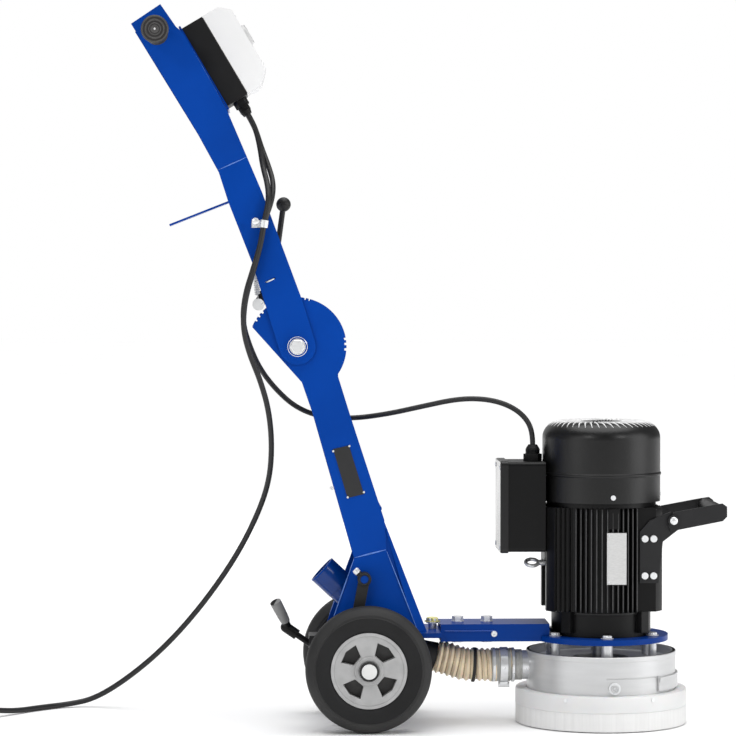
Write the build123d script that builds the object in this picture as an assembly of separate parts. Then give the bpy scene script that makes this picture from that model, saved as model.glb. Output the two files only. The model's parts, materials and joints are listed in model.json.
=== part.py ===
from build123d import *
import math
import os

# Walk-behind single-disc concrete floor grinder. Millimetres, +Z up, +X towards the grinding
# head, -Y is the near side. The floor is z = 0 and the origin is under the middle of the machine.

# Driving dimensions
AXLE_X = -100.0          # wheel axle, measured from the origin
WHEEL_R = 100.0          # 200 mm transport wheel, so the axle is this high
WHEEL_W = 50.0
WHEEL_Y = 115.0          # middle plane of each wheel
RIM_R = 60.0
RIM_WALL = 3.0            # closed wall behind the spokes
AXLE_R = 10.0
HEAD_REACH = 380.0       # axle to grinding head axis
HEAD_X = AXLE_X + HEAD_REACH
DISC_R = 100.0
SEGMENT_H = 10.0         # diamond segment height
HOUSING_R = 120.0
HOUSING_BOTTOM = 14.0
HOUSING_TOP = 117.0
WALL = 6.0
SKIRT_R = 138.0
SKIRT_BOTTOM = 1.0
SKIRT_TOP = 56.0
PLATE_R = 108.0          # motor plate
PLATE_BOTTOM = 134.0
PLATE_TOP = 143.0
SHIELD_R = 80.0          # drive end shield of the motor
FRAME_BOTTOM = 184.0     # motor frame with its cooling fins
FRAME_TOP = 350.0
BORE_R = 78.0
FIN_R = 92.0
COVER_R = 95.0           # fan cover
COVER_TOP = 485.0
COVER_BOTTOM = 358.0
SHAFT_R = 14.0
SIDE_Y = 57.0            # outer face of the side plates
SIDE_T = 5.0
ARM_Y = 62.5             # outer face of the handle arm plates
ARM_T = 4.0
PIVOT = (-111.0, 607.5)  # handle pivot, from the axle in x
SECTOR_R = 78.0
GRIP_AXIS = (-331.6, 1098.6)
GRIP_R = 17.0
GRIP_FLANGE_R = 21.5
BAR_R = 14.0
BAR_HALF = 190.0
PORT_R = 24.0            # dust port tube
PORT_BORE = 21.5
PORT_END = 40.0          # length of the tube's free end, which takes the hose cuff
PORT_BODY_R = 23.6
MAINS_D = 9.0
LEAD_D = 8.5
COIL_X = -773.0
COIL_Y = 78.0
COIL_MEAN = 49.5         # radius at the middle of the coil's turns
GAP = 0.3                # running clearance between bodies
FIT = 0.05               # radial clearance of a shaft in its bore
PIN_R = 5.0              # small pivots and clamping screws
PIVOT_R = 8.0            # handle pivot bolt

os.makedirs("parts", exist_ok=True)


def save(shape, name):
    export_step(shape, "parts/" + name + ".step")


def from_axle(points):
    return [(AXLE_X + x, z) for x, z in points]


def side_face(y):
    """Plane of a side view: local x is +X, local y is +Z, its normal is -Y."""
    return Plane(origin=(0, y, 0), x_dir=(1, 0, 0), z_dir=(0, -1, 0))


def plate(points, y_low, y_high):
    """Flat outline in the side view, given from the axle, thick from y_low to y_high."""
    outline = side_face(y_high) * make_face(Polyline(*from_axle(points), close=True))
    return extrude(outline, amount=y_high - y_low)


def rod(start, end, radius):
    a = Vector(*start)
    b = Vector(*end)
    seat = Plane(origin=a, z_dir=b - a)
    return seat * Cylinder(radius, (b - a).length, align=(Align.CENTER, Align.CENTER, Align.MIN))


def across(x, z, radius, y_low, y_high):
    """Round bar lying along Y, placed from the axle."""
    return rod((AXLE_X + x, y_low, z), (AXLE_X + x, y_high, z), radius)


def upright(x, y, z_low, z_high, radius):
    return rod((x, y, z_low), (x, y, z_high), radius)


def tube_z(outer, inner, z_low, z_high, x=HEAD_X, y=0.0):
    return upright(x, y, z_low, z_high, outer) - upright(x, y, z_low - 1, z_high + 1, inner)


def block(x_low, x_high, y_low, y_high, z_low, z_high):
    size = (x_high - x_low, y_high - y_low, z_high - z_low)
    middle = ((x_low + x_high) / 2, (y_low + y_high) / 2, (z_low + z_high) / 2)
    return Pos(*middle) * Box(*size)


def hex_head(x, y, z_low, z_high, across_flats):
    profile = RegularPolygon(across_flats / math.sqrt(3), 6)
    return extrude(Plane.XY.offset(z_low) * Pos(x, y, 0) * profile, amount=z_high - z_low)


def far_copy(shape):
    return mirror(shape, about=Plane.XZ)


def both_sides(shape):
    return Compound(children=[shape, far_copy(shape)])


def group(shapes):
    return Compound(children=shapes)


def bent_panel(points, fold_a, fold_b, angle, y_out, thickness):
    """Outline beyond a fold line, swung outwards (towards -Y) about that line."""
    y_in = y_out + thickness
    a = Vector(AXLE_X + fold_a[0], y_in, fold_a[1])
    b = Vector(AXLE_X + fold_b[0], y_in, fold_b[1])
    along = (b - a).normalized()
    outward = Vector(0, -1, 0)
    swung = outward.rotate(Axis(a, along), angle)
    flat = Plane(origin=a, x_dir=along, z_dir=outward)
    seat = Plane(origin=a, x_dir=along, z_dir=swung)
    local = []
    for x, z in from_axle(points):
        p = flat.to_local_coords(Vector(x, y_in, z))
        local.append((p.X, p.Y))
    face = seat * make_face(Polyline(*local, close=True))
    return extrude(face, amount=thickness)


def corner_radii(points):
    """Largest fair arc at each corner: 0.45 of the shorter run over the tangent of the half turn."""
    radii = []
    for before, here, after in zip(points, points[1:], points[2:]):
        run_in = Vector(*here) - Vector(*before)
        run_out = Vector(*after) - Vector(*here)
        half_turn = math.radians(run_in.get_angle(run_out)) / 2
        radii.append(0.45 * min(run_in.length, run_out.length) / math.tan(half_turn))
    return radii


def cord_tube(name, points, diameter):
    radii = corner_radii(points)
    path = FilletPolyline(*points, radius=radii)
    start = Plane(origin=path @ 0, z_dir=path % 0)
    tube = sweep(start * Circle(diameter / 2), path=path)
    section = math.pi * diameter**2 / 4
    runs = [round((Vector(*b) - Vector(*a)).length) for a, b in zip(points, points[1:])]
    print(name, "length", round(path.length, 1), "smallest radius", round(min(radii), 1))
    print("  radii", [round(r) for r in radii])
    print("  runs", runs, "volume over section x length", round(tube.volume / section / path.length, 4))
    return tube


# ---------------------------------------------------------------- chassis

FOLD_REAR = (-21.1, 270.8)
FOLD_FRONT = (30.5, 283.8)
FOLD_SPREAD = -3.0
BASE_LOW = 143.0
BASE_HIGH = 151.0


def tooth_notches(y_low, y_high):
    """Narrow locking notches in the rim of the sector, by their angle about the pivot."""
    half = 1.7
    depth = 3.2
    notches = []
    for degrees in (136.0, 142.0, 148.0, 75.0, 80.0, 9.0, 3.0, -3.5):
        a = math.radians(degrees)
        c = (math.cos(a), math.sin(a))
        s = (-c[1], c[0])
        near = SECTOR_R - depth
        far = SECTOR_R + 4
        corners = []
        for reach, side in ((near, -half), (far, -half * 1.5), (far, half * 1.5), (near, half)):
            corners.append((PIVOT[0] + c[0] * reach + s[0] * side, PIVOT[1] + c[1] * reach + s[1] * side))
        notches.append(plate(corners, y_low, y_high))
    return notches


def side_plate():
    """Near side plate: toothed sector, upright, and a gusset that spreads below its fold."""
    y_low = -SIDE_Y
    y_high = SIDE_Y * -1 + SIDE_T
    px, pz = PIVOT
    sector = across(px, pz, SECTOR_R, y_low, y_high)
    keep = plate(
        [(-182.1, 637.7), (-103.6, 550.0), (-46.1, 559.0), (0, 565), (0, 700), (-130, 720), (-215, 667)],
        y_low - 1,
        y_high + 1,
    )
    sector = sector & keep
    for notch in tooth_notches(y_low - 1, y_high + 1):
        sector -= notch
    neck = plate(
        [(-182.1, 637.7), (-103.6, 550.0), (-86.3, 500.2), FOLD_REAR, FOLD_FRONT, (27.3, 331.1),
         (-26.8, 496.9), (-46.1, 559.0), (-46.7, 566.9), PIVOT],
        y_low,
        y_high,
    )
    gusset = bent_panel(
        [FOLD_REAR, FOLD_FRONT, (81.6, BASE_HIGH), (-63.0, BASE_HIGH)],
        FOLD_REAR, FOLD_FRONT, FOLD_SPREAD, -SIDE_Y, SIDE_T,
    )
    body = sector + neck + gusset
    body -= across(px, pz, PIVOT_R + FIT, y_low - 1, y_high + 1)
    return body


def side_plates():
    """Both side plates; the near one is bored for the screw of its clamping lever."""
    bore = across(NEAR_LEVER[0], NEAR_LEVER[1], PIN_R + FIT, -SIDE_Y - 20, -SIDE_Y + 20)
    return group([side_plate() - bore, far_copy(side_plate())])


WEB_TOP = (-31.0, 496.0)
WEB_WAIST = (19.5, 349.0)
WEB_FOOT_X = 96.0
WEB_FOOT_Y = 38.0
WEB_T = 4.0
WEB_CHEEK = [(12.0, 345.0), (19.5, 347.0), (40.5, 283.8), (62.0, 211.0), (50.0, 211.0), (12.0, 283.8)]


def sheet(corners, thickness):
    """Flat sheet through three or four points given from the axle, thick towards -X."""
    a, b, c = [Vector(AXLE_X + x, y, z) for x, y, z in corners[:3]]
    normal = (b - a).cross(c - a).normalized()
    if normal.X > 0:
        normal = normal * -1
    face = make_face(Polyline(*[(AXLE_X + x, y, z) for x, y, z in corners], close=True))
    return extrude(face, amount=thickness, dir=normal)


def front_web():
    """Welded web between the side plates, splayed at the foot into two corner facets."""
    inner = SIDE_Y - SIDE_T
    tx, tz = WEB_TOP
    wx, wz = WEB_WAIST
    fx = WEB_FOOT_X
    fy = WEB_FOOT_Y
    upper = sheet([(tx, -inner, tz), (tx, inner, tz), (wx, inner, wz), (wx, -inner, wz)], WEB_T)
    front = sheet([(wx, -inner, wz), (wx, inner, wz), (fx, fy, BASE_HIGH), (fx, -fy, BASE_HIGH)], WEB_T)
    facet = sheet([(wx, -inner, wz), (fx, -fy, BASE_HIGH), (78.0, -inner - 4, BASE_HIGH)], WEB_T)
    waist = across(wx, wz, WEB_T, -inner, inner)
    cheek = plate(WEB_CHEEK, -inner, WEB_T - inner)
    web = upper + front + facet + far_copy(facet) + cheek + far_copy(cheek) + waist
    below = plate([(-50, 100), (150, 100), (150, BASE_HIGH), (-50, BASE_HIGH)], -80, 80)
    web = web - below - both_sides(side_plate())
    return max(web.solids(), key=lambda solid: solid.volume)


PORT_MOUTH = (-71.5, 247.8)
PORT_SLOPE = 43.0
PORT_LENGTH = 165.0
PORT_DIR = (math.cos(math.radians(PORT_SLOPE)), -math.sin(math.radians(PORT_SLOPE)))


def port_point(distance):
    return (PORT_MOUTH[0] + PORT_DIR[0] * distance, PORT_MOUTH[1] + PORT_DIR[1] * distance)


def port_rod(low, high, radius):
    a = port_point(low)
    b = port_point(high)
    return rod((AXLE_X + a[0], 0, a[1]), (AXLE_X + b[0], 0, b[1]), radius)


def dust_port():
    tube = port_rod(0, PORT_END, PORT_R) + port_rod(PORT_END - 1, PORT_LENGTH, PORT_BODY_R)
    return tube - port_rod(-1, PORT_LENGTH + 1, PORT_BORE)


def dust_elbow():
    """Black bent pipe from the foot of the port tube to the dust hose."""
    a = port_point(PORT_LENGTH)
    b = port_point(PORT_LENGTH + 31)
    points = [(AXLE_X + a[0], 0, a[1]), (AXLE_X + b[0], 0, b[1]), (AXLE_X + 113.0, 0, 106.5)]
    path = FilletPolyline(*points, radius=90)
    start = Plane(origin=path @ 0, z_dir=path % 0)
    return sweep(start * (Circle(22.0) - Circle(19.0)), path=path)


def base_plate():
    wide = block(AXLE_X - 66, AXLE_X + 118, -66, 66, BASE_LOW, BASE_HIGH)
    tongue = block(AXLE_X + 118, AXLE_X + 212, -33, 33, BASE_LOW, BASE_HIGH)
    shape = wide + tongue - port_rod(-20, PORT_LENGTH + 60, PORT_R + 0.2)
    for x, y in BEAM_BOLTS:
        shape -= upright(AXLE_X + x, y, 100, 200, 5.0)
    return shape


BEAM_BOLTS = ((148.0, 0.0), (195.0, 0.0))
LEVEL_BOLT = (107.0, 0.0)
BEAM_HALF = 40.0
BEAM_T = 5.0
BEAM_TOP = 162.0


def beam_channel():
    start = AXLE_X + 118.5
    end = HEAD_X - SHIELD_R - 7
    shape = block(start, end, -BEAM_HALF, BEAM_HALF, PLATE_BOTTOM, BEAM_TOP)
    hollow = BEAM_HALF - BEAM_T
    shape -= block(start - 1, end + 1, -hollow, hollow, PLATE_BOTTOM - 1, BEAM_TOP - BEAM_T)
    shape -= upright(HEAD_X, 0, 100, PLATE_TOP, PLATE_R + 0.2)
    for x, y in BEAM_BOLTS:
        shape -= upright(AXLE_X + x, y, 100, 200, 5.0)
    return shape


def motor_plate():
    disc = upright(HEAD_X, 0, PLATE_BOTTOM, PLATE_TOP, PLATE_R)
    tongue = block(AXLE_X + 118, HEAD_X - 50, -33, 33, PLATE_BOTTOM, PLATE_TOP)
    shape = disc + tongue - upright(HEAD_X, 0, 100, 200, 36.0)
    for x, y in BEAM_BOLTS:
        shape -= upright(AXLE_X + x, y, 100, 200, 5.0)
    for x, y in ring_places(HOUSING_BOLT_R, HOUSING_BOLT_COUNT, HOUSING_BOLT_START):
        shape -= upright(x, y, 100, 200, 4.0)
    return shape


def beam_bolts():
    """Two hexagon bolts through the beam, and the levelling bolt at the rear of the beam."""
    pieces = []
    for x, y in BEAM_BOLTS:
        bolt = upright(AXLE_X + x, y, PLATE_BOTTOM - 5, BEAM_TOP, 5.0)
        bolt += upright(AXLE_X + x, y, BEAM_TOP, BEAM_TOP + 2, 10.0)
        bolt += hex_head(AXLE_X + x, y, BEAM_TOP + 2, BEAM_TOP + 9, 16.0)
        bolt += hex_head(AXLE_X + x, y, PLATE_BOTTOM - 5, PLATE_BOTTOM, 16.0)
        pieces.append(bolt)
    x, y = LEVEL_BOLT
    level = upright(AXLE_X + x, y, BASE_HIGH, BASE_HIGH + 9, 6.5)
    level += hex_head(AXLE_X + x, y, BASE_HIGH + 9, BASE_HIGH + 17, 17.0)
    pieces.append(level)
    return group(pieces)


def axle_brackets():
    """Black cheeks that carry the stub axles, and the clamp block behind them."""
    y_high = -60.0
    y_low = -66.0
    cheek = plate([(-34, BASE_LOW), (34, BASE_LOW), (20, 84), (-20, 84)], y_low, y_high)
    cheek -= across(0, WHEEL_R, AXLE_R, y_low - 1, y_high + 1)
    clamp = block(AXLE_X - 92, AXLE_X - 50, -26, 26, 108, BASE_LOW)
    clamp -= rod(rear_axis(-18), rear_axis(10), PIN_R + FIT)
    return group([cheek, far_copy(cheek), clamp])


def stub_axles():
    y = WHEEL_Y + WHEEL_W / 2
    bar = across(0, WHEEL_R, AXLE_R, -y - 4, -50)
    bar += across(0, WHEEL_R, 16.0, -60, -50)
    bar += across(0, WHEEL_R, 12.0, -y - 8, -y - 0.4)
    return both_sides(bar)


def label_plate():
    corners = [(-54.5, 444.4), (-29.1, 450.1), (-5.2, 372.6), (-31.5, 366.3)]
    return plate(corners, -SIDE_Y - 1.0, -SIDE_Y)


# ---------------------------------------------------------------- grinding head

HOUSING_BOLT_R = 90.0
HOUSING_BOLT_COUNT = 6
HOUSING_BOLT_START = -90.0
WEB_LOW = 98.0
WEB_HIGH = 104.0
SPIGOT_Z = 92.0
SPIGOT_R = 23.4


def ring_places(radius, count, start):
    places = []
    for i in range(count):
        a = math.radians(start + 360.0 * i / count)
        places.append((HEAD_X + radius * math.cos(a), radius * math.sin(a)))
    return places


def head_housing():
    """Cast ring with a web that carries the bolts, open at the bottom for the disc."""
    shape = tube_z(HOUSING_R, HOUSING_R - WALL, HOUSING_BOTTOM, HOUSING_TOP)
    shape += tube_z(HOUSING_R - 1, 45.0, WEB_LOW, WEB_HIGH)
    for x, y in ring_places(HOUSING_BOLT_R, HOUSING_BOLT_COUNT, HOUSING_BOLT_START):
        shape -= upright(x, y, 60, 120, 4.0)
    mouth = rod((HEAD_X - HOUSING_R - 20, 0, SPIGOT_Z), (HEAD_X - 90, 0, SPIGOT_Z), SPIGOT_R - 2)
    groove = arc_band(HOUSING_R + 1, HOUSING_R - 1.5, 82.0, 84.0, -92.0, -47.0)
    return shape - (mouth - upright(HEAD_X, 0, WEB_LOW, HOUSING_TOP, 200)) - groove


def arc_band(outer, inner, z_low, z_high, start, end):
    """Part of a ring about the head axis between two angles in degrees."""
    def at(radius, degrees):
        a = math.radians(degrees)
        return (HEAD_X + radius * math.cos(a), radius * math.sin(a))
    middle = (start + end) / 2
    edges = [
        ThreePointArc(at(outer, start), at(outer, middle), at(outer, end)),
        Line(at(outer, end), at(inner, end)),
        ThreePointArc(at(inner, end), at(inner, middle), at(inner, start)),
        Line(at(inner, start), at(outer, start)),
    ]
    return extrude(Plane.XY.offset(z_low) * make_face(edges), amount=z_high - z_low)


SHUTTER_HALF = 48.0


def edge_shutter():
    """Sliding front segment of the shroud, drawn back for grinding up to a wall."""
    inner = HOUSING_R + GAP
    band = arc_band(inner + 3.4, inner, 60.0, 82.0, -SHUTTER_HALF, SHUTTER_HALF)
    for sign in (-1, 1):
        start, end = sorted((sign * SHUTTER_HALF, sign * (SHUTTER_HALF - 7)))
        band += arc_band(inner + 6.0, inner + 3.0, 74.0, 82.0, start, end)
    return band


def dust_skirt():
    """Brush skirt with an inward lip at its top."""
    skirt = tube_z(SKIRT_R, SKIRT_R - 12, SKIRT_BOTTOM, SKIRT_TOP)
    lip = tube_z(SKIRT_R, HOUSING_R + 0.2, SKIRT_TOP - 6, SKIRT_TOP)
    return skirt + lip


def radial_head(angle, z, seat, radius, height):
    """Screw head on the outside of a round casing."""
    a = math.radians(angle)
    low = (HEAD_X + seat * math.cos(a), seat * math.sin(a), z)
    high = (HEAD_X + (seat + height) * math.cos(a), (seat + height) * math.sin(a), z)
    return rod(low, high, radius)


HEAD_SCREW_ANGLE = -86.0


def housing_bolts():
    """Bolts with spacers between plate and housing, the washer screw and the skirt screws."""
    pieces = []
    for i, (x, y) in enumerate(ring_places(HOUSING_BOLT_R, HOUSING_BOLT_COUNT, HOUSING_BOLT_START)):
        wide = 9.0 if i == 0 else 6.5
        bolt = upright(x, y, WEB_LOW - 4, PLATE_TOP + 5, 3.9)
        bolt += upright(x, y, WEB_HIGH, PLATE_BOTTOM, wide)
        bolt += hex_head(x, y, WEB_LOW - 6, WEB_LOW, 13.0)
        bolt += hex_head(x, y, PLATE_TOP, PLATE_TOP + 5, 13.0)
        pieces.append(bolt)
    pieces.append(radial_head(HEAD_SCREW_ANGLE, 68.0, HOUSING_R, 9.5, 3.0))
    for angle in (-60.0, -120.0, 60.0, 120.0):
        pieces.append(radial_head(angle, 50.0, SKIRT_R, 3.0, 1.5))
    return group(pieces)


def dust_spigot():
    start = HEAD_X - math.sqrt(HOUSING_R**2 - SPIGOT_R**2) + 1
    pipe = rod((AXLE_X + 203, 0, SPIGOT_Z), (start + 2, 0, SPIGOT_Z), SPIGOT_R)
    pipe -= rod((AXLE_X + 160, 0, SPIGOT_Z), (start + 20, 0, SPIGOT_Z), SPIGOT_R - 2)
    return pipe - upright(HEAD_X, 0, 60, 130, HOUSING_R)


HOSE_POINTS = [(AXLE_X + 113.5, 0, 106.4), (AXLE_X + 165, 0, SPIGOT_Z), (AXLE_X + 234, 0, SPIGOT_Z)]


def dust_hose():
    outer = FilletPolyline(*HOSE_POINTS, radius=240)
    start = Plane(origin=outer @ 0, z_dir=outer % 0)
    return sweep(start * (Circle(27.0) - Circle(24.6)), path=outer)


def hose_clamps():
    """Worm-drive clamp on the hose at the spigot."""
    x = AXLE_X + 222
    z = SPIGOT_Z
    band = rod((x - 6, 0, z), (x + 6, 0, z), 28.6) - rod((x - 8, 0, z), (x + 8, 0, z), 27.3)
    worm = rod((x - 9, -8, z - 31), (x + 9, -8, z - 31), 4.5) + block(x - 6, x + 6, -14, -2, z - 31, z - 26)
    clamp = band + worm
    return clamp - rod((x - 12, 0, z), (x + 12, 0, z), 27.3)


# ---------------------------------------------------------------- motor

PAD_IN = 48.0
PAD_OUT = 93.0
PAD_Y = 66.0


PAD_SLOTS = 4             # cooling slots in the pads beside the terminal box
PAD_SLOT_PITCH = 7.5
PAD_SLOT_W = 3.6
PAD_SLOT_DEEP = 8.0


def motor_frame():
    shape = upright(HEAD_X, 0, FRAME_BOTTOM, FRAME_TOP, BORE_R + 6)
    for side_x in (-1, 1):
        for side_y in (-1, 1):
            x_pair = sorted((HEAD_X + side_x * PAD_IN, HEAD_X + side_x * PAD_OUT))
            y_pair = sorted((side_y * 30.0, side_y * PAD_Y))
            pad = block(x_pair[0], x_pair[1], y_pair[0], y_pair[1], FRAME_BOTTOM, FRAME_TOP)
            corner = upright(HEAD_X, 0, FRAME_BOTTOM, FRAME_TOP, 104.0)
            shape += pad & corner
    for i in range(PAD_SLOTS):
        x = HEAD_X - PAD_IN - PAD_SLOT_PITCH * (i + 1)
        for side_y in (-1, 1):
            y_pair = sorted((side_y * (PAD_Y - PAD_SLOT_DEEP), side_y * (PAD_Y + 1)))
            shape -= block(x - PAD_SLOT_W, x, y_pair[0], y_pair[1], FRAME_BOTTOM - 1, FRAME_TOP + 1)
    for centre, spread, count in ((-90.0, 32.0, 13), (90.0, 32.0, 13), (0.0, 14.0, 5)):
        for i in range(count):
            angle = centre - spread + 2 * spread * i / (count - 1)
            fin = block(HEAD_X + BORE_R, HEAD_X + FIN_R, -1.4, 1.4, FRAME_BOTTOM, FRAME_TOP)
            shape += fin.rotate(Axis((HEAD_X, 0, 0), (0, 0, 1)), angle)
    shape += block(HEAD_X - FIN_R - 2, HEAD_X - BORE_R, -30, 30, 262, 345)
    boss = block(HEAD_X + 2, HEAD_X + 20, -FIN_R - 1, -BORE_R, 318, 356)
    shape += boss & upright(HEAD_X, 0, 318, FRAME_TOP, FIN_R + 1)
    shape -= upright(HEAD_X, 0, FRAME_BOTTOM - 1, FRAME_TOP + 1, BORE_R)
    return shape


BEARING_R = 26.0
BEARING_W = 15.0


def end_shields():
    """Cast end shields; each holds a bearing in its hub."""
    lower = tube_z(SHIELD_R, SHIELD_R - 7, PLATE_TOP, FRAME_BOTTOM)
    lower += tube_z(SHIELD_R - 1, BEARING_R, 160, 168)
    lower += tube_z(BEARING_R + 7, BEARING_R, 160, 160 + BEARING_W)
    for i in range(4):
        lug = block(HEAD_X + SHIELD_R - 4, HEAD_X + FIN_R - 2, -9, 9, FRAME_BOTTOM - 34, FRAME_BOTTOM)
        lower += lug.rotate(Axis((HEAD_X, 0, 0), (0, 0, 1)), 45 + 90 * i)
    upper = tube_z(FIN_R - 4, BEARING_R, FRAME_TOP, FRAME_TOP + 8)
    upper += tube_z(BEARING_R + 7, BEARING_R, FRAME_TOP - 7, FRAME_TOP + 8)
    return group([lower, upper])


def motor_bearings():
    lower = tube_z(BEARING_R, SHAFT_R + 0.03, 160, 160 + BEARING_W)
    upper = tube_z(BEARING_R, SHAFT_R + 0.03, FRAME_TOP - 7, FRAME_TOP + 8)
    return group([lower, upper])


STACK_LOW = 205.0
STACK_HIGH = 325.0


def stator():
    core = tube_z(BORE_R, 46.0, STACK_LOW, STACK_HIGH)
    windings = tube_z(70.0, 50.0, STACK_LOW - 14, STACK_HIGH + 14)
    return core + windings


def motor_shaft():
    shaft = upright(HEAD_X, 0, 40, 452, SHAFT_R)
    return shaft


def rotor_core():
    return tube_z(45.2, SHAFT_R, STACK_LOW, STACK_HIGH)


def cooling_fan():
    hub = tube_z(24.0, SHAFT_R, 405, 440)
    web = tube_z(78.0, 23.0, 405, 409)
    shape = hub + web
    for i in range(8):
        blade = block(HEAD_X + 28, HEAD_X + 78, -1.5, 1.5, 408, 440)
        shape += blade.rotate(Axis((HEAD_X, 0, 0), (0, 0, 1)), 45.0 * i)
    return shape


def fan_cover():
    """Pressed cover with a rounded shoulder, a bead and a slotted grille."""
    wall = 2.0
    r = COVER_R
    shoulder = 26.0
    bead_z = 402.0
    outline = [
        Line((r - wall, COVER_BOTTOM), (r, COVER_BOTTOM)),
        Line((r, COVER_BOTTOM), (r, bead_z - 3)),
        ThreePointArc((r, bead_z - 3), (r + 1.5, bead_z), (r, bead_z + 3)),
        Line((r, bead_z + 3), (r, COVER_TOP - shoulder)),
        RadiusArc((r, COVER_TOP - shoulder), (r - shoulder, COVER_TOP), -shoulder),
        Line((r - shoulder, COVER_TOP), (0, COVER_TOP)),
        Line((0, COVER_TOP), (0, COVER_TOP - wall)),
        Line((0, COVER_TOP - wall), (r - shoulder, COVER_TOP - wall)),
        RadiusArc((r - shoulder, COVER_TOP - wall), (r - wall, COVER_TOP - shoulder), shoulder - wall),
        Line((r - wall, COVER_TOP - shoulder), (r - wall, COVER_BOTTOM)),
    ]
    profile = Plane.XZ * make_face(outline)
    shape = Pos(HEAD_X, 0, 0) * revolve(profile, axis=Axis.Z)
    for ring_in, ring_out, count in ((16.0, 40.0, 16), (45.0, 72.0, 32)):
        for i in range(count):
            slot = block(HEAD_X + ring_in, HEAD_X + ring_out, -1.9, 1.9, COVER_TOP - 4, COVER_TOP + 2)
            shape -= slot.rotate(Axis((HEAD_X, 0, 0), (0, 0, 1)), 360.0 * i / count)
    return shape


def motor_screws():
    """Fan cover screws and the bolts of the lifting bracket."""
    pieces = []
    for angle in (-85.0, 5.0, 95.0):
        pieces.append(radial_head(angle, 368.0, COVER_R, 4.0, 2.5))
    for x in (HEAD_X + 62, HEAD_X + 76):
        for z in (242.0, 301.0):
            bolt = rod((x, -PAD_Y - 4, z), (x, -PAD_Y - 9, z), 5.5)
            pieces.append(bolt)
            pieces.append(far_copy(bolt))
    return group(pieces)


def nameplate():
    """Blank rating plate on the fins."""
    sheet_metal = block(HEAD_X - 1, HEAD_X + 30, -FIN_R - 1.5, -FIN_R + 0.5, 230, 312)
    return sheet_metal - upright(HEAD_X, 0, 200, 330, FIN_R + 0.05)


BOX_HALF = 48.0
BOX_REAR = AXLE_X + 226.0
BOX_FRONT = HEAD_X - FIN_R - 2


def terminal_box():
    shape = block(BOX_REAR, BOX_FRONT, -BOX_HALF, BOX_HALF, 278, 422)
    shape -= upright(HEAD_X, 0, 340, 430, COVER_R + 2)
    shape = fillet(shape.edges().filter_by(Axis.X), 6)
    shape -= block(BOX_REAR - 1, BOX_FRONT - 16, -BOX_HALF + 4, BOX_HALF - 4, 282, 418)
    return shape


def terminal_lid():
    shape = block(BOX_REAR - 13, BOX_REAR, -BOX_HALF - 2, BOX_HALF + 2, 276, 424)
    shape = fillet(shape.edges().filter_by(Axis.X), 7)
    return fillet(shape.faces().sort_by(Axis.X)[0].edges(), 3)


MOTOR_GLAND = (AXLE_X + 269.0, 0.0, 422.0)


def gland(base, direction, across_flats):
    """Cable gland: hexagon body and a domed nut, with a hole for the cable."""
    a = Vector(*base)
    d = Vector(*direction).normalized()
    seat = Plane(origin=a, z_dir=d)
    body = extrude(seat * RegularPolygon(across_flats / math.sqrt(3), 6), amount=11)
    nut = seat.offset(11) * Cylinder(across_flats * 0.42, 9, align=(Align.CENTER, Align.CENTER, Align.MIN))
    tip = seat.offset(20) * Cone(across_flats * 0.42, 7.0, 6, align=(Align.CENTER, Align.CENTER, Align.MIN))
    return body + nut + tip


def motor_gland():
    return gland(MOTOR_GLAND, (0, 0, 1), 26.0)


def eyebolt():
    centre = Vector(AXLE_X + 268.0, 0, 257)
    seat = Plane(origin=centre, x_dir=(1, 0, 0), z_dir=(0, -0.5, 1))
    ring = seat * Torus(10.0, 3.0)
    shank = rod((AXLE_X + 278.5, 0, 257), (HEAD_X - BORE_R - 6, 0, 257), 4.5)
    return ring + shank


LIFT_PIVOT = (487.4, 330.0)
LIFT_PLATE_Y = 70.0
LIFT_ARM_Y = 75.0


def lift_bracket():
    outline = [
        (434, 230), (464, 230), (471, 296), (499, 318),
        (501, 334), (484, 344), (450, 330), (434, 312),
    ]
    cheek = plate(outline, -LIFT_PLATE_Y, -PAD_Y)
    cheek += across(LIFT_PIVOT[0], LIFT_PIVOT[1], PIN_R, -LIFT_ARM_Y - 1, -PAD_Y)
    cheek += across(LIFT_PIVOT[0], LIFT_PIVOT[1], 9.0, -LIFT_ARM_Y - 4, -LIFT_ARM_Y - 0.5)
    return both_sides(cheek)


def lift_handle():
    outline = [
        (478, 324), (483, 313), (566, 329), (573, 336),
        (573, 352), (566, 357), (552, 355), (487, 343),
    ]
    arm = plate(outline, -LIFT_ARM_Y, -LIFT_PLATE_Y - 0.5)
    arm -= across(LIFT_PIVOT[0], LIFT_PIVOT[1], PIN_R + FIT, -90, -50)
    bar = across(560, 343, 12.5, -LIFT_ARM_Y, LIFT_ARM_Y)
    return arm + bar + far_copy(arm)


# ---------------------------------------------------------------- rotor and disc

def drive_hub():
    shape = tube_z(24.0, SHAFT_R, 34, 90)
    return shape + tube_z(55.0, SHAFT_R, 22, 34)


def grinding_disc():
    return tube_z(DISC_R, SHAFT_R + 6, SEGMENT_H, SEGMENT_H + 12)


def diamond_segments():
    pieces = []
    for i in range(10):
        start = 36.0 * i
        pieces.append(arc_band(DISC_R - 3, DISC_R - 33, 0.0, SEGMENT_H, start, start + 14.0))
    return group(pieces)


# ---------------------------------------------------------------- wheels

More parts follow.
